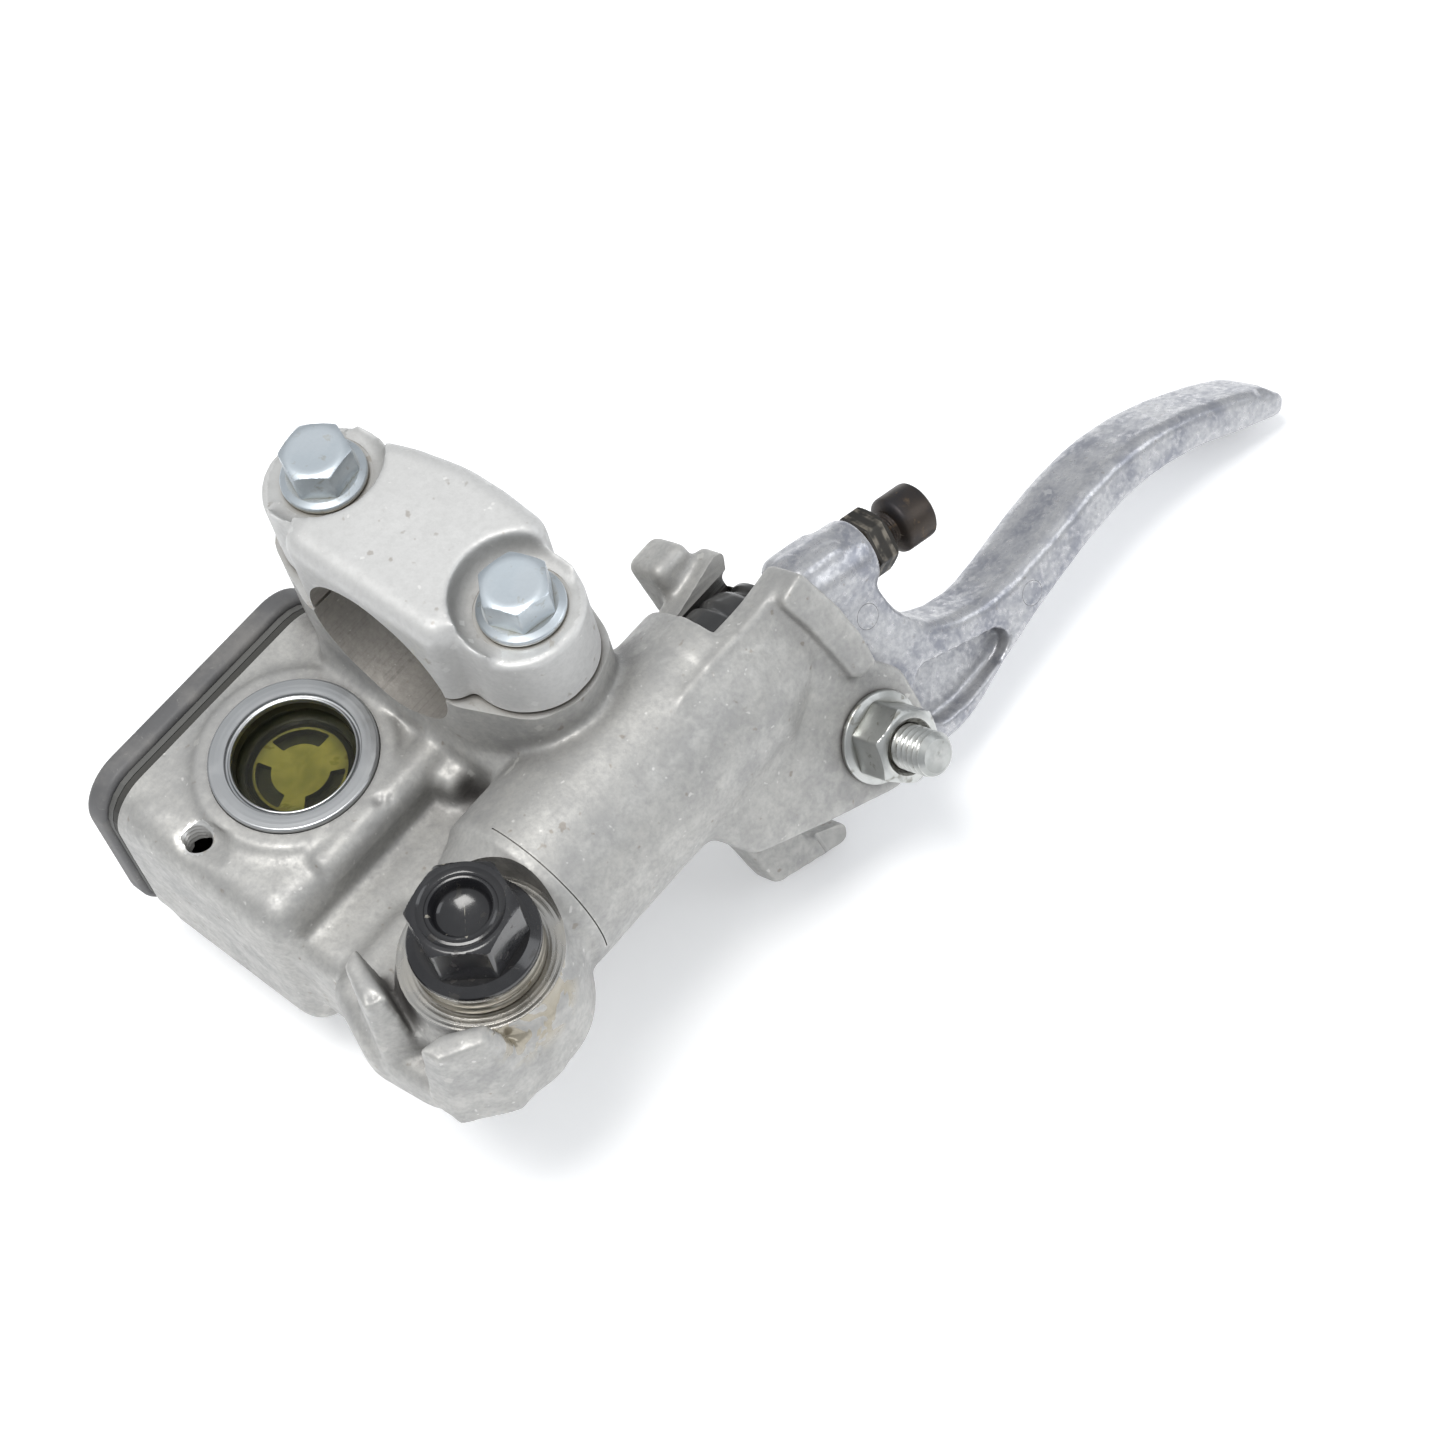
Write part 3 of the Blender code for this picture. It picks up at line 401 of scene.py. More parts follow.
def casting(ob, voxel, fill=24, soft=7, cap=0.9, grain=((7.0, 0.05), (2.2, 0.02)), weight=None, seed=0):
    """Fused solids as one dense skin: inside corners filled like a mould's fillets, outside
    corners eased, then a light unevenness in the surface."""
    mod = ob.modifiers.new("v", "REMESH")
    mod.mode = "VOXEL"
    mod.voxel_size = voxel
    bake(ob)
    mesh = ob.data
    co, e = arrays(mesh)
    deg = np.maximum(np.bincount(e.ravel(), minlength=len(co)), 1)
    w = np.ones(len(co)) if weight is None else weight(co)
    for _ in range(3):
        co = co + 0.5 * laplacian(co, e, deg)
    base = co.copy()
    for it in range(fill):
        if it % 4 == 0:
            no = normals_of(mesh, co)
        lap = laplacian(co, e, deg)
        d = np.einsum("ij,ij->i", lap, no)
        step = np.where(d > 0.004, d, 0.0)[:, None] * no * 0.9
        co = co + step * w[:, None] + (lap - d[:, None] * no) * 0.3
        out = np.einsum("ij,ij->i", co - base, no)
        over = np.clip(out - cap, 0, None)
        co = co - over[:, None] * no
    for _ in range(soft):
        co = co + 0.5 * laplacian(co, e, deg)
    no = normals_of(mesh, co)
    for k, (size, amp) in enumerate(grain):
        off = Vector((seed * 13.7 + k * 31.1, 5.3 * k, 2.1 * seed))
        d = np.array([noise.noise(Vector(c) / size + off) for c in co])
        co = co + no * (d * amp)[:, None]
    mesh.vertices.foreach_set("co", co.astype(np.float32).ravel())
    mesh.update()
    return ob


def dent(ob, spots):
    """Small pits: each spot is (point, radius, depth)."""
    co, _ = arrays(ob.data)
    no = normals_of(ob.data, co)
    for p, r, depth in spots:
        d = np.linalg.norm(co - np.array(p), axis=1) / r
        co = co - no * (depth * np.exp(-(d ** 2) * 1.6) * (d < 2.2))[:, None]
    ob.data.vertices.foreach_set("co", co.astype(np.float32).ravel())
    ob.data.update()


def publish(ob, name, body, mats, *nodes, angle=35.0, rules=None, slot=None):
    """Moves a finished scratch object to the row frame, as a piece riding on a body."""
    if len(ob.modifiers):
        bake(ob)
    mesh = ob.data
    co, _ = arrays(mesh)
    mats = mats if isinstance(mats, (list, tuple)) else [mats]
    index = np.zeros(len(mesh.polygons), np.int32)
    if rules:
        c = np.empty(len(mesh.polygons) * 3, np.float32)
        n = np.empty(len(mesh.polygons) * 3, np.float32)
        mesh.polygons.foreach_get("center", c)
        mesh.polygons.foreach_get("normal", n)
        c, n = c.reshape(-1, 3).astype(float), n.reshape(-1, 3).astype(float)
        for k, rule in enumerate(rules):
            index[rule(c, n)] = k + 1
    co = (co + np.array(ORIGIN)) * 0.001
    mesh.vertices.foreach_set("co", co.astype(np.float32).ravel())
    mesh.materials.clear()
    for m in mats:
        mesh.materials.append(m)
    mesh.polygons.foreach_set("material_index", index)
    mesh.polygons.foreach_set("use_smooth", [True] * len(mesh.polygons))
    mesh.update()
    mesh.set_sharp_from_angle(angle=math.radians(angle))
    piece = bpy.data.objects.new(name, mesh)
    mesh.name = name
    bpy.context.scene.collection.objects.link(piece)
    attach(piece, body)
    if nodes:
        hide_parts(*nodes)
    return piece


# ------------------------------------------------------------------ materials
class Look:
    """Small builder for procedural materials, in metres of object space."""

    def __init__(self, name):
        self.mat = bpy.data.materials.new(name)
        self.mat.use_nodes = True
        self.tree = self.mat.node_tree
        self.tree.nodes.clear()
        self.out = self.add("ShaderNodeOutputMaterial")
        self.bsdf = self.add("ShaderNodeBsdfPrincipled")
        self.tree.links.new(self.bsdf.outputs[0], self.out.inputs["Surface"])
        self.coord = self.add("ShaderNodeTexCoord").outputs["Object"]

    def add(self, kind):
        return self.tree.nodes.new(kind)

    def put(self, value, socket):
        if isinstance(value, bpy.types.NodeSocket):
            self.tree.links.new(value, socket)
        elif isinstance(value, (tuple, list)) and len(value) == 3 and socket.type == "RGBA":
            socket.default_value = (*value, 1.0)
        else:
            socket.default_value = value

    def noise(self, scale, detail=3.0, rough=0.55, seed=0.0, warp=0.0, stretch=None):
        n = self.add("ShaderNodeTexNoise")
        n.noise_dimensions = "4D"
        src = self.coord
        if stretch:
            mp = self.add("ShaderNodeMapping")
            mp.inputs["Scale"].default_value = stretch
            self.put(src, mp.inputs["Vector"])
            src = mp.outputs[0]
        self.put(src, n.inputs["Vector"])
        n.inputs["W"].default_value = seed
        n.inputs["Scale"].default_value = scale
        n.inputs["Detail"].default_value = detail
        n.inputs["Roughness"].default_value = rough
        n.inputs["Distortion"].default_value = warp
        return n.outputs[0]

    def cells(self, scale, seed=0.0, feature="F1"):
        n = self.add("ShaderNodeTexVoronoi")
        n.voronoi_dimensions = "4D"
        n.feature = feature
        self.put(self.coord, n.inputs["Vector"])
        n.inputs["W"].default_value = seed
        n.inputs["Scale"].default_value = scale
        return n.outputs["Distance"]

    def ramp(self, fac, a, b, lo=0.0, hi=1.0):
        n = self.add("ShaderNodeMapRange")
        n.interpolation_type = "SMOOTHSTEP"
        for k, v in zip(("Value", "From Min", "From Max", "To Min", "To Max"), (fac, a, b, lo, hi)):
            self.put(v, n.inputs[k])
        return n.outputs[0]

    def math(self, op, a, b=0.0, clamp=False):
        n = self.add("ShaderNodeMath")
        n.operation = op
        n.use_clamp = clamp
        self.put(a, n.inputs[0])
        self.put(b, n.inputs[1])
        return n.outputs[0]

    def mix(self, fac, a, b, mode="MIX"):
        n = self.add("ShaderNodeMix")
        n.data_type = "RGBA"
        n.blend_type = mode
        self.put(fac, n.inputs[0])
        self.put(a, n.inputs[6])
        self.put(b, n.inputs[7])
        return n.outputs[2]

    def blend(self, fac, a, b):
        n = self.add("ShaderNodeMix")
        n.data_type = "FLOAT"
        self.put(fac, n.inputs[0])
        self.put(a, n.inputs[2])
        self.put(b, n.inputs[3])
        return n.outputs[0]

    def ao(self, distance, samples=5):
        n = self.add("ShaderNodeAmbientOcclusion")
        n.samples = samples
        n.inputs["Distance"].default_value = distance
        return n.outputs["AO"]

    def point(self):
        return self.add("ShaderNodeNewGeometry").outputs["Pointiness"]

    def where(self, origin, axis):
        """Signed distance in metres along an axis from a design point."""
        sub = self.add("ShaderNodeVectorMath")
        sub.operation = "SUBTRACT"
        self.put(self.coord, sub.inputs[0])
        sub.inputs[1].default_value = [(o + g) * 0.001 for o, g in zip(origin, ORIGIN)]
        dot = self.add("ShaderNodeVectorMath")
        dot.operation = "DOT_PRODUCT"
        self.put(sub.outputs[0], dot.inputs[0])
        dot.inputs[1].default_value = axis
        return dot.outputs["Value"]

    def near(self, point):
        """Distance in metres from a design point."""
        n = self.add("ShaderNodeVectorMath")
        n.operation = "DISTANCE"
        self.put(self.coord, n.inputs[0])
        n.inputs[1].default_value = [(o + g) * 0.001 for o, g in zip(point, ORIGIN)]
        return n.outputs["Value"]

    def bump(self, height, strength, distance, under=None):
        n = self.add("ShaderNodeBump")
        self.put(height, n.inputs["Height"])
        self.put(strength, n.inputs["Strength"])
        n.inputs["Distance"].default_value = distance
        if under is not None:
            self.put(under, n.inputs["Normal"])
        return n.outputs[0]

    def done(self, **values):
        names = {"color": "Base Color", "rough": "Roughness", "metal": "Metallic", "normal": "Normal",
                 "coat": "Coat Weight", "coat_rough": "Coat Roughness", "trans": "Transmission Weight",
                 "ior": "IOR", "spec": "Specular IOR Level", "aniso": "Anisotropic", "alpha": "Alpha",
                 "sheen": "Sheen Weight"}
        for k, v in values.items():
            self.put(v, self.bsdf.inputs[names[k]])
        return self.mat


def cast_metal(name, base, dark, light, grime_and_shade, rough=0.5, metal=0.75, patch=70.0, grain=1500.0,
               grain_amount=0.35, mottle=0.5, specks=0.5, ao_amount=0.75, seed=0.0, wet=None):
    k = Look(name)
    big = k.ramp(k.noise(patch, 4, 0.6, seed), 0.40, 0.64)
    mid = k.ramp(k.noise(patch * 5.5, 5, 0.65, seed + 3, 0.4), 0.42, 0.66)
    fine = k.noise(grain, 3, 0.6, seed + 5)
    col = k.mix(k.math("MULTIPLY", big, mottle), base, dark)
    col = k.mix(k.math("MULTIPLY", mid, mottle * 0.65), col, light)
    col = k.mix(k.ramp(fine, 0.35, 0.7, 0.0, 0.42), col, dark)
    brown = k.ramp(k.noise(patch * 9, 2, 0.5, seed + 8), 0.66, 0.74)
    col = k.mix(k.math("MULTIPLY", brown, specks * 0.8), col, (0.16, 0.115, 0.07))
    glint = k.ramp(k.noise(patch * 14, 1, 0.5, seed + 11), 0.70, 0.76)
    col = k.mix(k.math("MULTIPLY", glint, specks * 0.7), col, (0.86, 0.85, 0.83))
    # Painted shade: ambient occlusion pulls the colour toward the dark crevice colour in creases and hollows. This
    # stands for real grime there and for painted shade as well.
    occ = k.ramp(k.ao(0.006), 0.22, 0.88, 1.0, 0.0)
    occ = k.math("MULTIPLY", occ, k.ramp(k.noise(patch * 3, 4, 0.7, seed + 17), 0.25, 0.7, 0.65, 1.0))
    col = k.mix(k.math("MULTIPLY", occ, ao_amount), col, grime_and_shade)
    edge = k.ramp(k.point(), 0.515, 0.56, 0.0, 0.55)
    col = k.mix(edge, col, light)
    r = k.blend(k.ramp(fine, 0.3, 0.75), rough - 0.07, rough + 0.09)
    r = k.blend(mid, r, rough - 0.1)
    r = k.blend(k.math("MULTIPLY", occ, 0.6), r, 0.75)
    if wet:
        point, reach = wet
        blot = k.ramp(k.near(point), reach * 0.55, reach, 1.0, 0.0)
        blot = k.math("MULTIPLY", blot, k.ramp(k.noise(330, 2, 0.5, seed + 23, 1.0), 0.49, 0.54))
        r = k.blend(blot, r, 0.06)
        col = k.mix(k.math("MULTIPLY", blot, 0.55), col, (0.30, 0.25, 0.15))
    h = k.math("ADD", k.math("MULTIPLY", fine, 0.6), k.noise(grain * 0.4, 2, 0.5, seed + 29))
    pits = k.ramp(k.cells(420, seed), 0.05, 0.16, -1.0, 0.0)
    h = k.math("ADD", h, k.math("MULTIPLY", pits, k.ramp(k.noise(240, 1, 0.5, seed + 31), 0.55, 0.62)))
    n = k.bump(h, grain_amount, 0.00012)
    return k.done(color=col, rough=r, metal=metal, normal=n)


def plated(name, base, dark, stain, rough=0.26, seed=0.0, stain_amount=0.5, ao_amount=0.7, metal=1.0,
           bump=0.12, worn=None, wear=(0.53, 0.58), coat=0.0):
    k = Look(name)
    cloud = k.ramp(k.noise(180, 4, 0.6, seed), 0.38, 0.66)
    fine = k.noise(1500, 3, 0.6, seed + 4)
    col = k.mix(cloud, base, dark)
    spots = k.ramp(k.noise(520, 3, 0.6, seed + 7, 0.6), 0.58, 0.68)
    col = k.mix(k.math("MULTIPLY", spots, stain_amount), col, stain)
    # Painted shade: ambient occlusion pulls the colour toward the stain colour in creases and hollows. The stain colour
    # is real staining in the spots above and painted shade here.
    occ = k.ramp(k.ao(0.0022), 0.2, 0.85, 1.0, 0.0)
    col = k.mix(k.math("MULTIPLY", occ, ao_amount), col, stain)
    if worn is not None:
        edge = k.math("MULTIPLY", k.ramp(k.point(), wear[0], wear[1]),
                      k.ramp(k.noise(700, 2, 0.6, seed + 9), 0.32, 0.6))
        col = k.mix(edge, col, worn)
    r = k.blend(cloud, rough, rough + 0.12)
    r = k.blend(k.math("MULTIPLY", spots, 0.6), r, 0.55)
    n = k.bump(k.math("ADD", fine, k.noise(240, 2, 0.5, seed + 12)), bump, 0.00008)
    return k.done(color=col, rough=r, metal=metal, normal=n, coat=coat, coat_rough=0.06)


def moulded(name, base, dust, rough=0.6, seed=0.0, dust_amount=0.3, bump=0.25, gloss=0.0, metal=0.0):
    k = Look(name)
    mott = k.ramp(k.noise(160, 4, 0.6, seed), 0.4, 0.68)
    fine = k.noise(2600, 2, 0.6, seed + 2)
    col = k.mix(k.math("MULTIPLY", mott, dust_amount), base, dust)
    scuff = k.ramp(k.noise(900, 3, 0.7, seed + 6, 1.2), 0.60, 0.70)
    col = k.mix(k.math("MULTIPLY", scuff, dust_amount * 0.8), col, dust)
    edge = k.ramp(k.point(), 0.52, 0.57, 0.0, 0.4)
    col = k.mix(edge, col, dust)
    r = k.blend(mott, rough, min(rough + 0.15, 1.0))
    n = k.bump(fine, bump, 0.00006)
    return k.done(color=col, rough=r, metal=metal, normal=n, coat=gloss, coat_rough=0.08)


def turned_metal(name, base, stain, centre, axis, rough=0.2, pitch=9000.0, amount=0.25, seed=0.0):
    """Machined face with fine concentric tool marks about an axis."""
    k = Look(name)
    sub = k.add("ShaderNodeVectorMath")
    sub.operation = "SUBTRACT"
    k.put(k.coord, sub.inputs[0])
    sub.inputs[1].default_value = [(o + g) * 0.001 for o, g in zip(centre, ORIGIN)]
    crs = k.add("ShaderNodeVectorMath")
    crs.operation = "CROSS_PRODUCT"
    k.put(sub.outputs[0], crs.inputs[0])
    crs.inputs[1].default_value = axis
    length = k.add("ShaderNodeVectorMath")
    length.operation = "LENGTH"
    k.put(crs.outputs[0], length.inputs[0])
    wave = k.math("SINE", k.math("MULTIPLY", length.outputs["Value"], pitch))
    ring = k.add("ShaderNodeTexNoise")
    ring.noise_dimensions = "1D"
    k.put(k.math("MULTIPLY", length.outputs["Value"], 1.0), ring.inputs["W"])
    ring.inputs["Scale"].default_value = 5200
    ring.inputs["Detail"].default_value = 3
    cloud = k.ramp(k.noise(210, 4, 0.6, seed), 0.42, 0.7)
    col = k.mix(k.math("MULTIPLY", cloud, 0.45), base, stain)
    col = k.mix(k.ramp(ring.outputs[0], 0.3, 0.8, 0.0, 0.25), col, (0.42, 0.42, 0.41))
    r = k.blend(cloud, rough, rough + 0.14)
    n = k.bump(k.math("ADD", wave, k.math("MULTIPLY", ring.outputs[0], 2.0)), amount, 0.00003)
    return k.done(color=col, rough=r, metal=1.0, normal=n)


# Dark crevice colour for the cast parts: real grime and painted shade, mixed in by ambient occlusion.
GRIME_AND_SHADE = (0.085, 0.078, 0.075)
M = {}
M["body"] = cast_metal("cast_body_look", (0.42, 0.415, 0.40), (0.30, 0.30, 0.30), (0.55, 0.545, 0.52), GRIME_AND_SHADE,
                       rough=0.52, metal=0.45, mottle=0.65, seed=1.0, ao_amount=0.9, wet=((BANJO[0] - 1.5, BANJO[1] - 8.0, -11.0), 0.009))
M["cap"] = cast_metal("cast_clamp_look", (0.56, 0.56, 0.555), (0.46, 0.46, 0.455), (0.66, 0.66, 0.65),
                      (0.15, 0.135, 0.115), rough=0.55, metal=0.35, mottle=0.35, specks=0.5, seed=4.0,
                      ao_amount=0.6, grain_amount=0.25)
M["lever"] = cast_metal("cast_lever_look", (0.47, 0.475, 0.49), (0.23, 0.24, 0.28), (0.60, 0.60, 0.61), GRIME_AND_SHADE,
                        rough=0.36, metal=0.62, patch=170.0, mottle=0.9, specks=0.35, seed=7.0,
                        grain_amount=0.18, ao_amount=0.65)
M["bore"] = cast_metal("bar_bore_look", (0.25, 0.235, 0.22), (0.12, 0.11, 0.105), (0.40, 0.38, 0.35),
                       (0.07, 0.06, 0.05), rough=0.6, metal=0.4, patch=160.0, mottle=0.9, specks=0.8, seed=9.0,
                       grain_amount=0.8)
M["machined"] = plated("machined_face_look", (0.60, 0.60, 0.59), (0.45, 0.45, 0.44), (0.26, 0.22, 0.17), 0.34,
                       seed=2.0, stain_amount=0.45, ao_amount=0.7, metal=0.75)
M["zinc"] = plated("zinc_bolt_look", (0.60, 0.65, 0.69), (0.47, 0.52, 0.56), (0.24, 0.20, 0.12), 0.32, seed=5.0,
                   stain_amount=0.35, ao_amount=0.85, bump=0.1, metal=0.9)
M["zinc_dull"] = plated("zinc_nut_look", (0.50, 0.51, 0.50), (0.36, 0.37, 0.36), (0.14, 0.13, 0.10), 0.32,
                        seed=6.0, stain_amount=0.6, ao_amount=0.85, bump=0.18, worn=(0.78, 0.78, 0.76))
M["black"] = plated("black_banjo_look", (0.012, 0.012, 0.014), (0.02, 0.02, 0.022), (0.05, 0.042, 0.03), 0.13,
                    seed=8.0, stain_amount=0.25, ao_amount=0.2, metal=0.0, bump=0.1, coat=0.25,
                    worn=(0.34, 0.32, 0.27), wear=(0.56, 0.63))
M["black_nut"] = plated("black_nut_look", (0.03, 0.028, 0.026), (0.05, 0.047, 0.042), (0.09, 0.07, 0.045), 0.38,
                        seed=12.0, stain_amount=0.5, ao_amount=0.3, metal=0.7, bump=0.3,
                        worn=(0.20, 0.18, 0.15), wear=(0.56, 0.66))
M["black_worn"] = plated("adjuster_look", (0.055, 0.045, 0.038), (0.035, 0.033, 0.036), (0.14, 0.10, 0.065), 0.40,
                         seed=13.0, stain_amount=0.6, ao_amount=0.3, metal=0.75, bump=0.3,
                         worn=(0.26, 0.23, 0.19), wear=(0.56, 0.66))
M["washer"] = plated("washer_look", (0.40, 0.38, 0.34), (0.27, 0.25, 0.21), (0.12, 0.09, 0.05), 0.30, seed=14.0,
                     stain_amount=0.7, ao_amount=0.7)
M["bezel"] = turned_metal("bezel_look", (0.44, 0.45, 0.46), (0.34, 0.35, 0.36), (SIGHT[0], SIGHT[1], 0),
                          (0, 0, 1), rough=0.30, amount=0.08)
M["seat"] = turned_metal("banjo_seat_look", (0.42, 0.41, 0.39), (0.24, 0.22, 0.18), (BANJO[0], BANJO[1], 0),
                         (0, 0, 1), rough=0.2, seed=3.0)
M["cover"] = moulded("cover_look", (0.115, 0.115, 0.118), (0.30, 0.29, 0.275), 0.55, seed=3.0, dust_amount=0.45,
                     bump=0.4, metal=0.2)
M["rubber"] = moulded("rubber_look", (0.018, 0.018, 0.018), (0.07, 0.068, 0.06), 0.62, seed=5.0, dust_amount=0.3)
M["boot"] = moulded("boot_look", (0.012, 0.012, 0.013), (0.05, 0.048, 0.042), 0.34, seed=7.0, dust_amount=0.25,
                    gloss=0.45, bump=0.15)
M["plastic"] = moulded("plastic_look", (0.07, 0.07, 0.07), (0.13, 0.13, 0.12), 0.5, seed=8.0, dust_amount=0.2)
M["spring"] = plated("spring_look", (0.42, 0.42, 0.43), (0.32, 0.32, 0.33), (0.1, 0.09, 0.07), 0.3, seed=16.0)
M["alloy"] = turned_metal("piston_look", (0.56, 0.52, 0.42), (0.45, 0.41, 0.32), (0, BORE_Y, BORE_Z), (1, 0, 0),
                          rough=0.3, seed=6.0)


# ------------------------------------------------------------------ main casting
def bore_weight(co):
    """Thin lugs and the bracket take less easing than the heavy parts."""
    w = np.ones(len(co))
    lug = (co[:, 0] < -35.0) & (co[:, 1] < -18.5) & (co[:, 2] > -21.0)
    w[lug] = 0.08
    w[(co[:, 0] > 15.0) & (co[:, 1] < -20.0)] = 0.35
    return w


def insert_edge(ob):
    """Faint step left by a mould insert beside the bracket window."""
    co, _ = arrays(ob.data)
    no = normals_of(ob.data, co)
    rel = co - np.array([0, BORE_Y, BORE_Z])
    q, h = rel @ np.array(Q), rel @ np.array(PN)
    ang = np.degrees(np.arctan2(h, q))
    r = np.hypot(q, h)
    inside = np.clip((co[:, 0] - 11.8) / 0.7, 0, 1) * np.clip((48.0 - ang) / 3.0, 0, 1) * np.clip((ang - 5.0) / 3.0, 0, 1)
    inside = inside * (r < 13.2) * (r > 11.0) * (co[:, 0] < 18.0)
    co = co + no * (0.15 * inside)[:, None]
    ob.data.vertices.foreach_set("co", co.astype(np.float32).ravel())
    ob.data.update()


def main_body():
    ob = cyl((0, BORE_Y, BORE_Z), X, TUBE_R, -21.0, 16.4, seg=128)
    adds = [
        cyl((0, BORE_Y, BORE_Z), X, 8.8, -29.5, -20.5, seg=128, r2=TUBE_R - 0.35),
        cyl((*BANJO, 0), (0, 0, 1), 11.4, -27.6, -12.6, seg=128, top=2.4, low=3.4),
        cyl((*BANJO, 0), (0, 0, 1), 10.3, -20.0, BANJO_SEAT_Z + 0.5, seg=128),
        prism(round_path([(-43.5, -15.5), (-47.6, -25.5), (-46.6, -34.5), (-42.2, -42.2), (-33.4, -44.2),
                          (-26.4, -41.8), (-23.6, -37.5), (-22.6, -28.0), (-30.0, -15.0)],
                         [3, 6, 6, 6, 6, 4, 4, 3, 3]), -26.4, -18.2, bevel=2.4, segments=5),
        # two prongs that keep the hose fitting from turning, wider at the foot
        hull([(-40.8, -21.8, -5.2), (-43.4, -22.6, -5.2), (-46.0, -28.4, -5.2), (-43.4, -29.8, -5.2),
              (-38.6, -20.4, -20.0), (-43.8, -21.6, -22.0), (-47.2, -28.6, -22.0), (-43.0, -31.8, -20.0)]),
        hull([(-46.0, -36.8, -6.2), (-45.6, -39.6, -6.2), (-40.6, -42.6, -6.2), (-38.6, -40.8, -6.2),
              (-43.0, -37.4, -6.2), (-46.9, -35.2, -21.0), (-46.4, -39.0, -24.0), (-40.4, -43.8, -24.0),
              (-34.2, -43.9, -23.0), (-37.0, -40.2, -19.0), (-43.6, -35.4, -19.0)]),
        box((RES_X0, RES_X1), (-8.5, RIM_Y + 1.0), (RES_Z0, WALL_Z), bevel=4.2, segments=6),
        prism(round_path([(RES_X0, RES_Z0), (RES_X1, RES_Z0), (RES_X1, WALL_Z), (RES_X0, WALL_Z)], 6.0, 8),
              0.0, 8.0, frame_at((0, RIM_Y + 1.0, 0), (1, 0, 0), (0, 0, 1))),
        box((-42.4, -12.0), (-24.0, -4.0), (-37.0, -19.6), bevel=3.4, segments=5),
        cyl((0, -6.2, -15.4), X, 2.6, -34.0, -11.5, seg=48, top=1.2, low=1.2),
        spin([(0, -20.0), (13.4, -20.0), (13.4, -13.7), (13.15, -13.15), (12.6, -12.9), (0, -12.9)],
             axis_at((*SIGHT, 0), (0, 0, 1)), 128),
        # clamp half: a saddle between two round bolt columns
        prism(round_path([(-11.3, -13.6), (10.5, -13.6), (10.5, 13.6), (-11.3, 13.6)], 2.0), -13.2, 1.2),
        cyl((-0.3, -BOLT_Y, 0), (0, 0, 1), 8.2, -16.0, 1.2, seg=96),
        cyl((-0.3, BOLT_Y - 0.6, 0), (0, 0, 1), 8.2, -13.2, 1.2, seg=96, low=1.0),
        prism(round_path([(-11.3, -12.5), (-6.5, -23.6), (6.5, -23.6), (10.5, -12.5),
                          (10.5, 12.5), (6.5, 23.9), (-6.5, 23.9), (-11.3, 12.5)],
                         [4, 5.5, 5.5, 4, 4, 5.5, 5.5, 4], 5), -13.2, 1.2),
        box((-12.0, 9.6), (-27.0, 15.0), (-27.0, -10.5), bevel=2.2, segments=4),
        box((-16.0, -3.0), (-12.0, 20.0), (-38.0, -14.6), bevel=1.6, segments=3),
    ]
    near = round_path(
        [(-1.0, -7.0), (3.4, -15.6), (13.4, -20.6), (24.2, -25.4), (29.6, -25.2), (33.6, -20.0),
         (33.8, -13.0), (30.8, -8.2), (30.6, 0.6), (28.6, 10.0), (22.0, 9.2), (8.0, 9.2), (-1.0, 7.0)],
        [3, 3, 3, 4, 4, 4, 3, 2, 4, 0.8, 2, 3, 3], 6)
    far = round_path(
        [(-1.0, -7.0), (4.6, -18.0), (7.6, -24.0), (8.4, -31.8), (20.4, -36.0), (21.6, -33.6),
         (15.6, -30.4), (15.2, -23.6), (24.2, -25.4), (29.6, -25.2), (33.6, -20.0),
         (33.8, -13.0), (30.6, -8.2), (28.6, 0.6), (27.2, 6.2), (28.9, 9.4), (27.2, 9.9), (19.0, 7.9), (8.0, 7.6), (-1.0, 7.0)],
        [3, 3, 3, 1.2, 1.2, 1, 2, 3, 4, 4, 4, 4, 3, 3, 1.0, 0.5, 0.6, 3, 3, 3], 5)
    adds += [
        prism(near, CHEEK_IN - 0.6, CHEEK_OUT, BORE, bevel=0.9),
        prism(far, -CHEEK_OUT, -CHEEK_IN + 0.6, BORE, bevel=0.9),
        prism(round_path([(24.0, 8.8), (25.4, 3.0), (26.3, -4.0), (26.6, -7.6), (30.6, -8.4), (30.9, -3.0),
                          (30.4, 2.0), (28.6, 10.0)], [0.8, 3, 3, 1, 1, 3, 3, 0.8], 5),
              CHEEK_OUT - 2.2, CHEEK_OUT + 2.1, BORE, bevel=0.6),
        box((20.4, 26.4), (3.0, 12.9), (-14.6, -7.6), m=BORE, bevel=1.3),
        # round boss under the pivot nut
        cyl(in_bore(PIVOT_X, PIVOT_Q), PN, 7.4, CHEEK_IN, CHEEK_OUT + 0.02, seg=96),
    ]
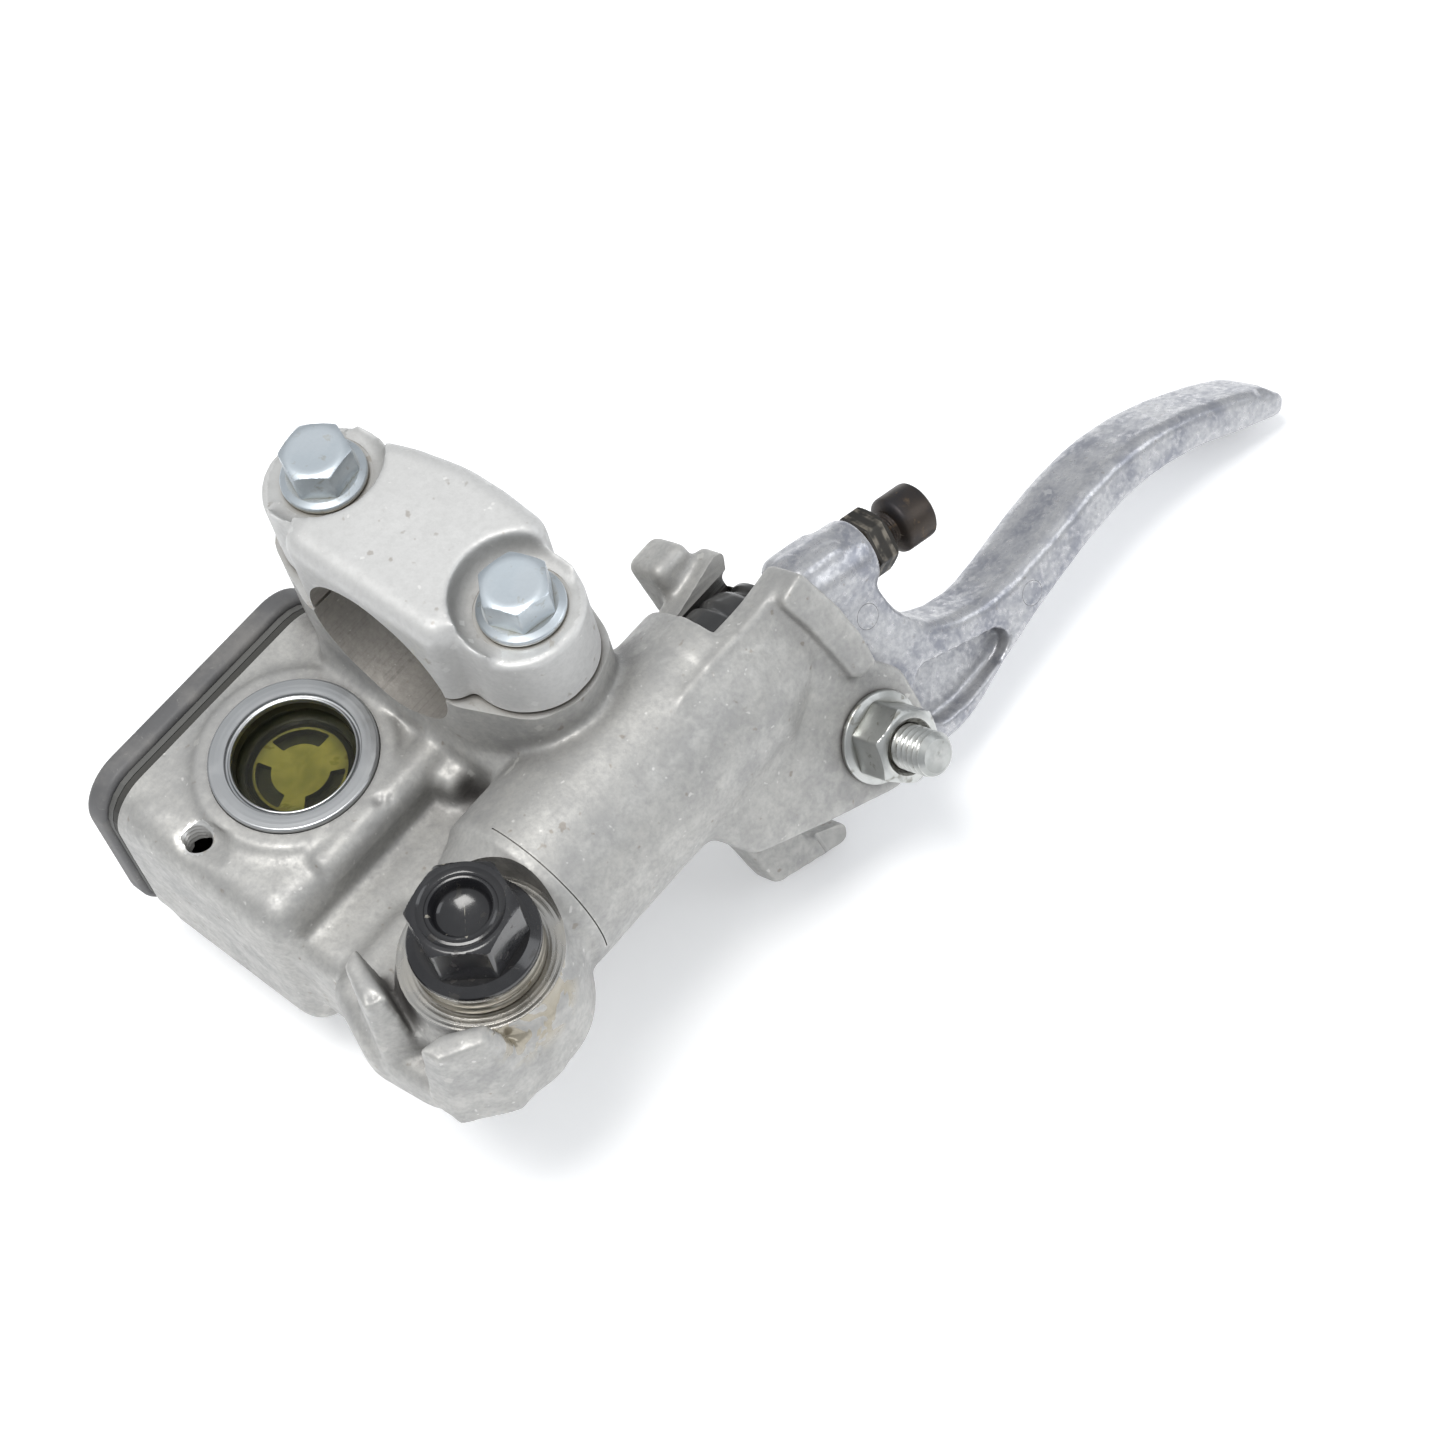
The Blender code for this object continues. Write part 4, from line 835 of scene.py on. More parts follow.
    # the tube runs out smoothly into the outside of each cheek
    for side in (1, -1):
        taper = cyl((0, BORE_Y, BORE_Z), X, TUBE_R, 15.9, 26.5, seg=128, r2=8.9)
        keep = box((12.0, 30.0), (-12.0, 6.4), tuple(sorted((side * (CHEEK_IN - 0.4), side * 13.0))), m=BORE)
        adds.append(common(taper, keep))
    join(ob, *adds)
    cut(ob, spin([(0, -14.9), (2.9, -14.9), (3.9, -14.3), (4.3, -13.0), (0, -13.0)], axis_at((-39.6, 9.2, 0), (0.10, 0.14, 1)), 64),
        cyl((-41.6, 12.6, -12.9), (0, 0, 1), 2.6, -1.35, 3.0, seg=48, r2=3.4))
    casting(ob, 0.37, fill=12, soft=4, cap=0.55, weight=bore_weight, seed=1)
    insert_edge(ob)
    rng = np.random.default_rng(11)
    spots = []
    for _ in range(46):
        spots.append(((rng.uniform(-30, 20), rng.uniform(-40, -14), rng.uniform(-14, -4)), rng.uniform(0.35, 0.8),
                      rng.uniform(0.05, 0.16)))
    spots += [((-22.6, -6.6, -12.8), 0.8, 0.5), ((-21.6, -7.6, -12.9), 0.6, 0.4), ((-44.4, -28.4, -5.2), 0.7, 0.4),
              ((-26.0, -8.4, -13.4), 0.6, 0.25)]
    dent(ob, spots)

    # fine parting line round the tube next to the banjo boss
    sector = prism([(0, 0)] + [(20 * math.cos(math.radians(a)), 20 * math.sin(math.radians(a))) for a in range(12, 128, 4)],
                   -30, 30, frame_at((0, BORE_Y, BORE_Z), Q, PN))
    parting = common(spin([(11.86, -19.34), (13.5, -19.34), (13.5, -19.52), (11.86, -19.52)], BORE_AXIS, 192), sector)
    cuts = [
        box((-16, 14), (-27, 27), (-0.3, 6.0)),
        cyl((0, 0, 0), X, BAR_R, -70.0, 30.0, seg=160),
        box((-60, 10), (RIM_Y, 45), (-60, -5)),
        cyl((0, BORE_Y, BORE_Z), X, 5.55, -22.4, 13.0, seg=64),
        cyl((0, BORE_Y, BORE_Z), X, 1.5, -31.0, -22.0, seg=24),
        cyl((0, BORE_Y, BORE_Z), X, 6.35, 9.8, 11.1, seg=64),
        cyl((0, BORE_Y, BORE_Z), X, 8.85, 11.9, 27.9, seg=96),
        prism(round_path([(16.4, -CHEEK_IN), (42.0, -CHEEK_IN), (42.0, CHEEK_IN), (16.4, CHEEK_IN)], [0.8, 0, 0, 3.4], 8),
              -23.0, 37.0, frame_at((0, BORE_Y, BORE_Z), X, PN)),
        cyl(in_bore(PIVOT_X, PIVOT_Q), PN, 3.1, -12.0, 12.0, seg=64),
        cyl((*BANJO, 0), (0, 0, 1), 10.36, BANJO_SEAT_Z, 0.0, seg=128),
        thread(5.05, 0.45, 1.0, -24.4, -9.0, m=axis_at((*BANJO, 0), (0, 0, 1)), end=0.0),
        box((RES_X0 + 2.8, RES_X1 - 2.8), (-4.4, 30.0), (RES_Z0 + 2.8, WALL_Z - 3.4), bevel=3.4, segments=4),
        spin([(0, -17.3), (10.95, -17.3), (10.95, -12.2), (11.25, -11.9), (11.25, -10.0), (0, -10.0)],
             axis_at((*SIGHT, 0), (0, 0, 1)), 128),
        cyl((*SIGHT, 0), (0, 0, 1), 7.4, -19.5, -10.0, seg=96),
        cyl((-9.0, 0, -21.2), (0, 1, 0), 1.2, -26.5, 0.0, seg=24),
        thread(2.15, 0.4, 0.8, -21.0, -10.0, m=axis_at((-39.6, 9.2, 0), (0, 0, 1)), end=0.0),
        parting,
    ]
    cuts += [thread(3.05, 0.4, 1.0, -13.5, 0.8, m=axis_at((0, sy * BOLT_Y, 0), (0, 0, 1)), end=0.0) for sy in (1, -1)]
    cut(ob, *cuts)
    posts = ((RES_X0 + 5.2, RES_Z0 + 5.2), (RES_X1 - 5.2, WALL_Z - 6.2))
    for sx, sz in posts:
        join(ob, cyl((sx, 0, sz), (0, 1, 0), 3.6, 8.0, RIM_Y - 0.45, seg=48))
    for sx, sz in posts:
        cut(ob, cyl((sx, 0, sz), (0, 1, 0), 2.05, 11.0, 30.0, seg=32))
    return ob


def is_bar_bore(c, n):
    r = np.hypot(c[:, 1], c[:, 2])
    return (abs(r - BAR_R) < 0.06) & (abs(c[:, 0]) < 13) & (abs(n[:, 0]) < 0.3)


def is_banjo_seat(c, n):
    r = np.hypot(c[:, 0] - BANJO[0], c[:, 1] - BANJO[1])
    return (abs(c[:, 2] - BANJO_SEAT_Z) < 0.03) & (n[:, 2] > 0.9) & (r < 10.5)


def is_machined(c, n):
    rel = c - np.array([0, BORE_Y, BORE_Z])
    part = (abs(c[:, 2] + 0.3) < 0.03) & (n[:, 2] > 0.95)
    rim = (abs(c[:, 1] - RIM_Y) < 0.03) & (n[:, 1] > 0.95) & (c[:, 0] < RES_X1 + 0.3) & (c[:, 2] < WALL_Z + 0.3)
    r = np.hypot(rel[:, 1], rel[:, 2])
    bore = (r < 8.4) & (c[:, 0] > -23) & (c[:, 0] < 16.5) & (abs(n[:, 0]) < 0.5)
    hole = (np.hypot(c[:, 0] + 39.6, c[:, 1] - 9.2) < 2.2) & (c[:, 2] > -22)
    return part | rim | bore | hole


body = publish(main_body(), "cast_body", "housing", [M["body"], M["machined"], M["bore"], M["seat"]], "master_body",
               rules=[is_machined, is_bar_bore, is_banjo_seat], slot="cast_body", angle=38)


# ------------------------------------------------------------------ clamp cap
def clamp_half():
    ob = prism(round_path([(-11.3, -13.4), (9.8, -13.4), (10.5, -5.0), (10.4, 1.0), (8.9, 8.0), (7.0, 13.4), (-11.3, 13.4)],
                          [3, 3, 12, 12, 12, 3, 3]), -1.0, PAD_Z + 0.03, bevel=2.6, segments=6, low=False)
    outline = round_path([(-11.3, -12.0), (-7.0, -23.9), (7.0, -23.9), (10.3, -12.0), (10.5, 0.0),
                          (8.8, 9.0), (7.2, 23.9), (-7.0, 23.9), (-11.3, 12.0)],
                         [5, 6.5, 6.5, 5, 12, 8, 6.5, 6.5, 5], 6)
    join(ob, *[cyl((-0.3, sy * (BOLT_Y - 0.6), 0), (0, 0, 1), 8.3, -1.017, PAD_Z - 1.2 + 0.011 * sy, seg=96, top=1.6)
               for sy in (1, -1)])
    pad = prism(round_path([(-8.2, -15.6), (7.4, -15.6), (7.4, 6.0), (6.0, 15.6), (-8.2, 15.6)], 3.0), 8.0, PAD_Z,
                bevel=1.2, segments=4, low=False)
    # spot faces for the bolts, open at the ends of the cap
    for part in (ob, pad):
        common(part, prism(outline, -2.0, PAD_Z + 0.017))
        for sy in (1, -1):
            cut(part, spin([(0, SEAT_Z), (6.6, SEAT_Z), (7.7, SEAT_Z + 0.75), (8.1, SEAT_Z + 1.6), (8.35, 20.0), (0, 20.0)],
                           axis_at((0, sy * BOLT_Y, 0), (0, 0, 1)), 96),
                box((-16.0, 16.0), tuple(sorted((sy * (BOLT_Y + 2.0), sy * 40.0))), (SEAT_Z + 0.003, 20.017)))
    merge(ob, pad)
    casting(ob, 0.32, fill=12, soft=6, cap=0.4, grain=((6.0, 0.05), (2.0, 0.02)), seed=2)
    cuts = [cyl((0, 0, 0), X, BAR_R, -30.0, 30.0, seg=160), box((-30, 30), (0.0, 40.0), (-5.0, 0.3)),
            box((-30, 30), (-40.0, 0.01), (-5.01, 0.25))]
    cuts += [cyl((0, sy * BOLT_Y, 0), (0, 0, 1), 6.0, SEAT_Z, 20.0, seg=96) for sy in (1, -1)]
    cuts += [cyl((0, sy * BOLT_Y, 0), (0, 0, 1), 3.25, -5.0, 20.0, seg=64) for sy in (1, -1)]
    return cut(ob, *cuts)


def is_cap_machined(c, n):
    part = (n[:, 2] < -0.95) & (c[:, 2] < 1.4)
    seat = (abs(c[:, 2] - SEAT_Z) < 0.03) & (n[:, 2] > 0.95)
    return part | seat


publish(clamp_half(), "clamp_cap_cast", "housing", [M["cap"], M["machined"], M["bore"]], "clamp_cap",
        rules=[is_cap_machined, is_bar_bore], slot="cast_clamp", angle=38)


# ------------------------------------------------------------------ bolts
def arc(cx, cz, r, a0, a1, n=5, hexed=False):
    return [(cx + r * math.cos(math.radians(a0 + (a1 - a0) * k / n)),
             cz + r * math.sin(math.radians(a0 + (a1 - a0) * k / n)), hexed) for k in range(n + 1)]


def flange_bolt(m, af, flange_r, head_h, phase, shank_r, shank_len, top, pitch=1.0):
    """Hexagon flange bolt: turned chamfer over the hexagon, sloping flange, threaded shank."""
    corner = af / math.sqrt(3)
    prof = [(0, 0.0)] + [(flange_r - 0.25, 0.0)] + arc(flange_r - 0.28, 0.28, 0.28, -90, 0, 4)
    prof += arc(flange_r - 0.35, 0.55, 0.35, 0, 70, 4)
    prof += [(corner * 1.02, 1.18), (corner * 1.0, 1.24)]
    prof += [(corner * 1.3, 1.24, True)]
    for k in range(8):
        prof.append((corner * 1.3, 1.3 + (head_h - af * 0.16 - 1.3) * k / 7, True))
    steps = 10
    for k in range(steps + 1):
        t = k / steps
        prof.append((corner * 1.12 + (af * 0.475 - corner * 1.12) * t, head_h - af * 0.085 * (1 - t) ** 1.25, True))
    prof += top
    head = spin(prof, m, 192, af, phase)
    shaft = thread(shank_r, 0.42, pitch, -shank_len, 0.3, m=m, plain=-shank_len, end=0.0)
    return join(head, shaft)


for sy, tag, ph in ((1, "upper", 8), (-1, "lower", -12)):
    m = axis_at((0, sy * BOLT_Y, SEAT_Z + 0.15), (0, 0, 1), (1, 0, 0))
    crown = [(3.66, 5.64), (3.4, 5.68), (2.9, 5.68), (2.0, 5.66), (1.0, 5.65), (0, 5.65)]
    publish(flange_bolt(m, 8.0, 5.5, 5.6, math.radians(ph), 2.98, 22.0, crown), "clamp_bolt_%s_head" % tag, "housing",
            M["zinc"], "clamp_bolt_" + tag, slot="zinc", angle=28)


def banjo_bolt():
    m = axis_at((*BANJO, BANJO_SEAT_Z + 3.1), (0, 0, 1), (1, 0, 0))
    af, corner, h = 12.0, 12.0 / math.sqrt(3), 8.6
    prof = [(0, 0.0), (7.75, 0.0)] + arc(7.8, 0.35, 0.35, -90, 0, 4)[1:] + [(8.15, 0.75)] + arc(7.75, 0.95, 0.4, 0, 65, 4)
    prof += [(7.5, 1.62), (corner * 1.015, 1.95), (corner * 1.0, 2.02), (corner * 1.3, 2.02, True)]
    for k in range(8):
        prof.append((corner * 1.3, 2.08 + (h - 1.75 - 2.08) * k / 7, True))
    for k in range(11):
        t = k / 10
        prof.append((corner * 1.08 + (5.85 - corner * 1.08) * t, h - 1.0 * (1 - t) ** 1.2, True))
    prof += [(5.7, h + 0.02), (5.35, h), (5.05, h - 0.26), (4.75, h - 0.36), (4.45, h - 0.28), (4.25, h - 0.05), (4.08, h + 0.02),
             (3.88, h - 0.02), (3.68, h - 0.3), (3.52, h - 1.5)]
    prof += [(3.5 * math.cos(math.radians(a)), h - 1.5 - 1.15 * math.sin(math.radians(a))) for a in (12, 24, 36, 48, 60, 72, 82)]
    prof += [(0, h - 2.65)]
    head = spin(prof, m, 192, af, math.radians(10))
    return join(head, thread(4.95, 0.5, 1.0, -13.0, 0.3, m=m, end=0.0))


publish(banjo_bolt(), "banjo_bolt_black", "housing", M["black"], "banjo_bolt", slot="black_oxide", angle=28)


def washer(z):
    m = axis_at((*BANJO, z), (0, 0, 1), (1, 0, 0))
    ob = spin([(5.3, 0.1), (5.4, 0.0)] + [(7.75, 0.0)] + arc(7.8, 0.25, 0.25, -90, 0, 4) + [(8.06, 0.66), (7.98, 0.70), (8.06, 0.74)]
              + arc(7.8, 1.1, 0.25, 0, 90, 4) + [(5.4, 1.35), (5.3, 1.25)], m, 128)
    return ob


publish(washer(BANJO_SEAT_Z + 0.1), "washer_lower", "housing", M["washer"], "banjo_washer_lower", slot="washer", angle=28)
publish(washer(BANJO_SEAT_Z + 1.6), "washer_upper", "housing", M["washer"], "banjo_washer_upper", slot="washer", angle=28)


# ------------------------------------------------------------------ sight glass
SG = axis_at((*SIGHT, 0), (0, 0, 1), (1, 0, 0))
bezel = spin([(10.86, -17.1), (10.86, -12.55)] + arc(10.55, -12.45, 0.31, 0, 90, 5) +
             [(8.75, -12.2), (8.66, -12.3), (8.6, -12.72), (8.38, -12.76), (8.3, -12.62)] +
             arc(8.12, -12.62, 0.18, 60, 180, 4) + [(7.9, -13.2), (7.78, -14.45), (8.5, -14.5), (8.9, -14.5), (8.9, -17.1)], SG, 160)
SLOT_FACES = [lambda c, n: (np.hypot(c[:, 0] - SIGHT[0], c[:, 1] - SIGHT[1]) < 7.93) & (c[:, 2] < -12.95)]
publish(spin([(8.6, -17.15), (8.6, -16.3), (8.5, -16.2), (7.0, -16.2), (6.9, -16.3), (6.9, -17.15)], SG, 128),
        "sight_seal", "housing", M["rubber"], "sight_glass_seal", slot="rubber", angle=30)
lens = spin([(0, -14.62), (3.0, -14.64), (6.0, -14.70), (7.6, -14.78), (8.05, -14.86), (8.25, -15.0), (8.25, -15.75),
             (0, -15.75)], SG, 128)

k = Look("lens_look")
smear = k.ramp(k.noise(300, 4, 0.6, 3.0, 0.8), 0.45, 0.72, 0.0, 0.10)
M["lens"] = k.done(color=(0.66, 0.66, 0.50), rough=k.math("ADD", smear, 0.02), trans=1.0, ior=1.30, metal=0.0,
                   normal=k.bump(k.noise(160, 2, 0.5, 1.0), 0.06, 0.0002))
publish(lens, "sight_lens", "housing", M["lens"], "sight_glass_lens", slot="lens", angle=30)


def reflector():
    """Disc with three kidney slots, which leave a round centre and three lobes."""
    ob = spin([(0, -18.2), (6.75, -18.2), (6.78, -16.95), (6.25, -16.75), (6.08, -16.5), (5.9, -16.5), (5.2, -16.6), (4.4, -16.72), (2.0, -16.86),
               (0, -16.9)], SG, 160)
    for a0 in (43, 155, 268):
        outer = [(5.75 * math.cos(math.radians(a)), 5.75 * math.sin(math.radians(a))) for a in np.linspace(a0 - 40, a0 + 40, 15)]
        inner = [(3.8 * math.cos(math.radians(a)), 3.8 * math.sin(math.radians(a))) for a in np.linspace(a0 + 36, a0 - 36, 13)]
        cut(ob, prism(round_path(outer + inner, [1.0] + [0] * 13 + [1.0, 1.0] + [0] * 11 + [1.0], 6), -17.7, -16.0, SG))
    return ob


k = Look("reflector_look")
tone = k.ramp(k.noise(260, 4, 0.6, 2.0, 0.5), 0.35, 0.7)
col = k.mix(tone, (0.56, 0.50, 0.14), (0.36, 0.32, 0.09))
rim = k.ramp(k.near((SIGHT[0], SIGHT[1], -16.9)), 0.0042, 0.0066, 0.0, 0.75)
col = k.mix(rim, col, (0.16, 0.14, 0.05))
M["reflector"] = k.done(color=col, rough=k.blend(tone, 0.25, 0.45), metal=0.25, coat=0.6, coat_rough=0.05,
                        normal=k.bump(k.noise(900, 3, 0.6, 5.0), 0.2, 0.0001))
k = Look("slot_look")
M["slot"] = k.done(color=k.mix(k.noise(500, 3, 0.6, 1.0), (0.012, 0.012, 0.008), (0.03, 0.028, 0.012)), rough=0.35,
                   metal=0.0, coat=0.5, coat_rough=0.1, normal=k.bump(k.noise(900, 2, 0.6, 5.0), 0.2, 0.0001))
publish(bezel, "sight_bezel", "housing", [M["bezel"], M["slot"]], "sight_glass_bezel", slot="machined", angle=25,
        rules=SLOT_FACES)
publish(reflector(), "sight_reflector", "housing", [M["reflector"], M["slot"]], "sight_glass_reflector", slot="reflector",
        angle=30, rules=[lambda c, n: (c[:, 2] < -17.2) | (abs(n[:, 2]) < 0.5) | (np.hypot(c[:, 0] - SIGHT[0], c[:, 1] - SIGHT[1]) > 6.1)])
# ------------------------------------------------------------------ lever
LEVER_OUTLINE = [
    (30.2, 5.6), (38.6, 3.6), (41.0, 0.6), (40.0, -5.6), (40.3, -10.6), (43.2, -15.6), (49.0, -19.2),
    (56.0, -20.6), (64.0, -20.6), (73.0, -20.2), (80.0, -20.6), (87.0, -22.3), (94.0, -25.2),
    (101.0, -29.0), (105.6, -32.0), (107.8, -34.6), (105.8, -37.4), (98.0, -33.6), (91.9, -30.4),
    (85.0, -27.8), (79.0, -26.6), (68.6, -26.6), (58.0, -27.8), (49.1, -29.4), (42.0, -31.2),
    (36.0, -31.0), (30.0, -27.2), (24.0, -25.0), (18.6, -21.6), (17.6, -15.0), (21.0, -10.4),
    (26.6, -8.0), (29.4, -4.0)]
LEVER_RADII = [2, 2.5, 3, 5, 7, 8, 12, 20, 20, 20, 20, 20, 20, 20, 6, 1.6, 1.6, 20, 20, 20, 20, 20,
               20, 20, 10, 8, 12, 8, 6, 6, 6, 6, 6]
POCKET = [(34.2, -24.4), (35.4, -20.8), (38.6, -18.9), (42.4, -20.6), (48.0, -23.0), (50.6, -24.0), (52.2, -26.4),
          (49.6, -28.3), (42.0, -28.7), (36.6, -27.7)]


def lv(points):
    return [(x - PIVOT_X, q - PIVOT_Q) for x, q in points]




def lever():
    ob = prism(round_path(lv(LEVER_OUTLINE), LEVER_RADII, 4), -4.1, 4.1, PIVOT, bevel=1.6, segments=5)
    join(ob, cyl(in_bore(PIVOT_X, PIVOT_Q), PN, 7.6, -HUB_H - 0.4, HUB_H + 0.4, seg=96),
         spin([(0, 0.5), (4.3, 0.5), (4.9, -0.3), (4.9, -10.6), (4.2, -11.4), (0, -11.4)], ADJ, 96))
    pocket = round_path(lv(POCKET), [3, 3, 2.5, 6, 6, 1.2, 1.2, 4, 6, 3], 6)
    for h0, h1 in ((1.6, 8.0), (-8.0, -1.6)):
        cut(ob, prism(pocket, h0, h1, PIVOT))
    casting(ob, 0.33, fill=8, soft=4, cap=0.4, grain=((9.0, 0.06), (2.4, 0.025)), seed=3)
    # the grip grows wider on its far side
    co, _ = arrays(ob.data)
    h = (co - np.array(in_bore(PIVOT_X, PIVOT_Q))) @ np.array(PN)
    t = np.clip((co[:, 0] - 42.0) / 26.0, 0, 1)
    t = t * t * (3 - 2 * t)
    grow = np.where(h < 1.5, (h - 1.5) * 0.62 * t, 0.0)
    co = co + grow[:, None] * np.array(PN)
    ob.data.vertices.foreach_set("co", co.astype(np.float32).ravel())
    ob.data.update()
    rng = np.random.default_rng(21)
    spots = []
    for _ in range(40):
        p = in_bore(rng.uniform(44, 104), rng.uniform(-34, -20), rng.choice([-4.1, 4.1]))
        spots.append((tuple(p), rng.uniform(0.4, 1.0), rng.uniform(0.04, 0.12)))
    spots += [(tuple(in_bore(107.0, -33.6, 2.0)), 1.6, 0.9), (tuple(in_bore(104.6, -31.6, 3.6)), 1.2, 0.5)]
    dent(ob, spots)
    marks = []
    for x, q, r in ((36.1, -7.3, 1.6), (57.8, -24.6, 1.6)):
        m = axis_at(in_bore(x, q), PN, X)
        marks.append(spin([(r, 6.0), (r + 0.22, 6.0), (r + 0.12, 3.93), (r + 0.08, 3.93)], m, 64))
    cut(ob, *marks)
    cut(ob, box((-9.0, 9.0), (-9.0, 9.0), (HUB_H, 8.0), m=PIVOT), box((-9.0, 9.0), (-9.0, 9.0), (-8.0, -HUB_H), m=PIVOT),
        cyl(in_bore(PIVOT_X, PIVOT_Q), PN, 3.05, -9, 9, seg=64),
        spin([(0, 3.0), (5.6, 3.0), (5.6, 0.0), (0, 0.0)], ADJ, 96),
        spin([(0, -20.0), (2.58, -20.0), (2.58, -0.45), (3.0, 0.0), (3.0, 5.0), (0, 5.0)], ADJ, 64))
    return ob


def is_lever_machined(c, n):
    rel = c - np.array(in_bore(PIVOT_X, PIVOT_Q))
    h = rel @ np.array(PN)
    r = np.sqrt(np.maximum((rel ** 2).sum(1) - h ** 2, 0))
    a = (c - np.array(in_bore(*ADJ_POINT))) @ np.array(ADJ_DIR)
    return ((abs(abs(h) - HUB_H) < 0.03) & (r < 7.9)) | (r < 3.1) | ((abs(a) < 0.03) & (abs(n @ np.array(ADJ_DIR)) > 0.95))


publish(lever(), "lever_cast", "lever", [M["lever"], M["machined"]], "brake_lever", rules=[is_lever_machined],
        slot="cast_lever", angle=38)


# ------------------------------------------------------------------ pivot fasteners
def pivot_bolt():
    m = axis_at(in_bore(PIVOT_X, PIVOT_Q, -CHEEK_OUT - 0.15), -PN, X)
    af, corner, h, fr = 8.0, 8.0 / math.sqrt(3), 5.4, 5.6
    prof = [(0, 0.0), (fr - 0.25, 0.0)] + arc(fr - 0.28, 0.28, 0.28, -90, 0, 4) + arc(fr - 0.35, 0.55, 0.35, 0, 70, 4)
    prof += [(corner * 1.02, 1.18), (corner, 1.24), (corner * 1.3, 1.24, True)]
    prof += [(corner * 1.3, 1.3 + (h - af * 0.16 - 1.3) * k / 7, True) for k in range(8)]
    prof += [(corner * 1.12 + (af * 0.475 - corner * 1.12) * t, h - af * 0.135 * (1 - t) ** 1.15, True)
             for t in [k / 10 for k in range(11)]]
    prof += [(3.4, h), (2.3, h), (2.05, h - 0.3), (0, h - 0.34)]
    head = spin(prof, m, 192, af, 0.3)
    length = 0.2 + 2 * CHEEK_OUT + 11.6
    m2 = axis_at(in_bore(PIVOT_X, PIVOT_Q, -CHEEK_OUT - 0.15), PN, X)
    shaft = thread(2.93, 0.42, 1.0, -0.3, length, m=m2, plain=2 * CHEEK_OUT - 2.0, end=0.75, seg=96)
    return join(head, shaft)


publish(pivot_bolt(), "pivot_bolt_zinc", "housing", M["zinc_dull"], "pivot_bolt", slot="zinc_dull", angle=30)


def pivot_nut():
    z0 = CHEEK_OUT + 0.15
    af, corner, h = 9.2, 9.2 / math.sqrt(3), CHEEK_OUT + 6.4
    prof = [(3.06, z0), (5.85, z0)] + arc(5.84, z0 + 0.26, 0.26, -90, 0, 4) + arc(5.78, z0 + 0.5, 0.32, 0, 70, 4)
    prof += [(corner * 1.01, z0 + 0.92), (corner * 0.99, z0 + 0.98), (corner * 1.3, z0 + 0.98, True)]
    prof += [(corner * 1.3, z0 + 1.05 + (h - 1.3 - z0 - 1.05) * k / 7, True) for k in range(8)]
    prof += [(corner * 1.13 + (af * 0.475 - corner * 1.13) * t, h - af * 0.13 * (1 - t) ** 1.15, True)
             for t in [k / 10 for k in range(11)]]
    prof += [(3.7, h), (3.06, h - 0.6)]
    return spin(prof, PIV_AXIS, 192, af, 0.2)


publish(pivot_nut(), "pivot_nut_zinc", "housing", M["zinc_dull"], "pivot_nut", slot="zinc_dull", angle=30)


# ------------------------------------------------------------------ adjuster
def adjuster():
    head = spin([(0, 11.3), (2.2, 11.3), (3.0, 11.24), (3.6, 11.14), (3.85, 10.9), (3.9, 10.6), (3.9, 6.9),
                 (3.82, 6.65), (3.5, 6.35), (3.0, 6.1), (2.4, 5.95), (0, 5.9)], ADJ, 128)
    # a bead of thread at the top and a blunt nose at the foot
    shaft = thread(2.45, 0.3, 0.8, -12.4, 6.0, m=ADJ, end=0.0, seg=96)
    nose = spin([(0, -12.2), (2.1, -12.2), (2.05, -12.7), (1.9, -13.15), (1.2, -13.5), (0, -13.68)], ADJ, 96)
    ob = join(head, shaft, nose)
    return cut(ob, prism([(1.25 * math.cos(a), 1.25 * math.sin(a)) for a in [math.tau * k / 6 for k in range(6)]],
                         9.2, 12.0, ADJ))


publish(adjuster(), "adjuster_screw_black", "adjuster", M["black_worn"], "adjuster_screw", slot="black_worn", angle=30)


def lock_nut():
    af, corner = 8.0, 8.0 / math.sqrt(3)
    prof = [(2.52, 0.45), (2.85, 0.15), (af * 0.475, 0.15)]
    prof += [(af * 0.475 + (corner * 1.12 - af * 0.475) * t, 0.15 + af * 0.10 * t ** 1.2, True) for t in [k / 8 for k in range(1, 9)]]
    prof += [(corner * 1.12, 0.95 + 2.15 * k / 4, True) for k in range(5)]
    prof += [(corner * 1.12 + (af * 0.475 - corner * 1.12) * t, 3.9 - af * 0.10 * (1 - t) ** 1.2, True)
             for t in [k / 8 for k in range(9)]]
    prof += [(2.85, 3.9), (2.52, 3.6)]
    return spin(prof, ADJ, 192, af, 0.26)


publish(lock_nut(), "lock_nut_black", "lever", M["black_nut"], "adjuster_lock_nut", slot="black_oxide", angle=30)


# ------------------------------------------------------------------ reservoir cover
TOP = frame_at((0, RIM_Y, 0), (0, 0, 1), (1, 0, 0))
SCREWS = ((RES_X0 + 5.2, RES_Z0 + 5.2), (RES_X1 - 5.2, WALL_Z - 6.2))


def rim(grow, radius, steps=10):
    x0, x1, z0, z1 = RES_X0 - grow, RES_X1 + grow, RES_Z0 - grow, WALL_Z + grow
    return round_path([(z0, x0), (z1, x0), (z1, x1), (z0, x1)], radius + grow, steps)


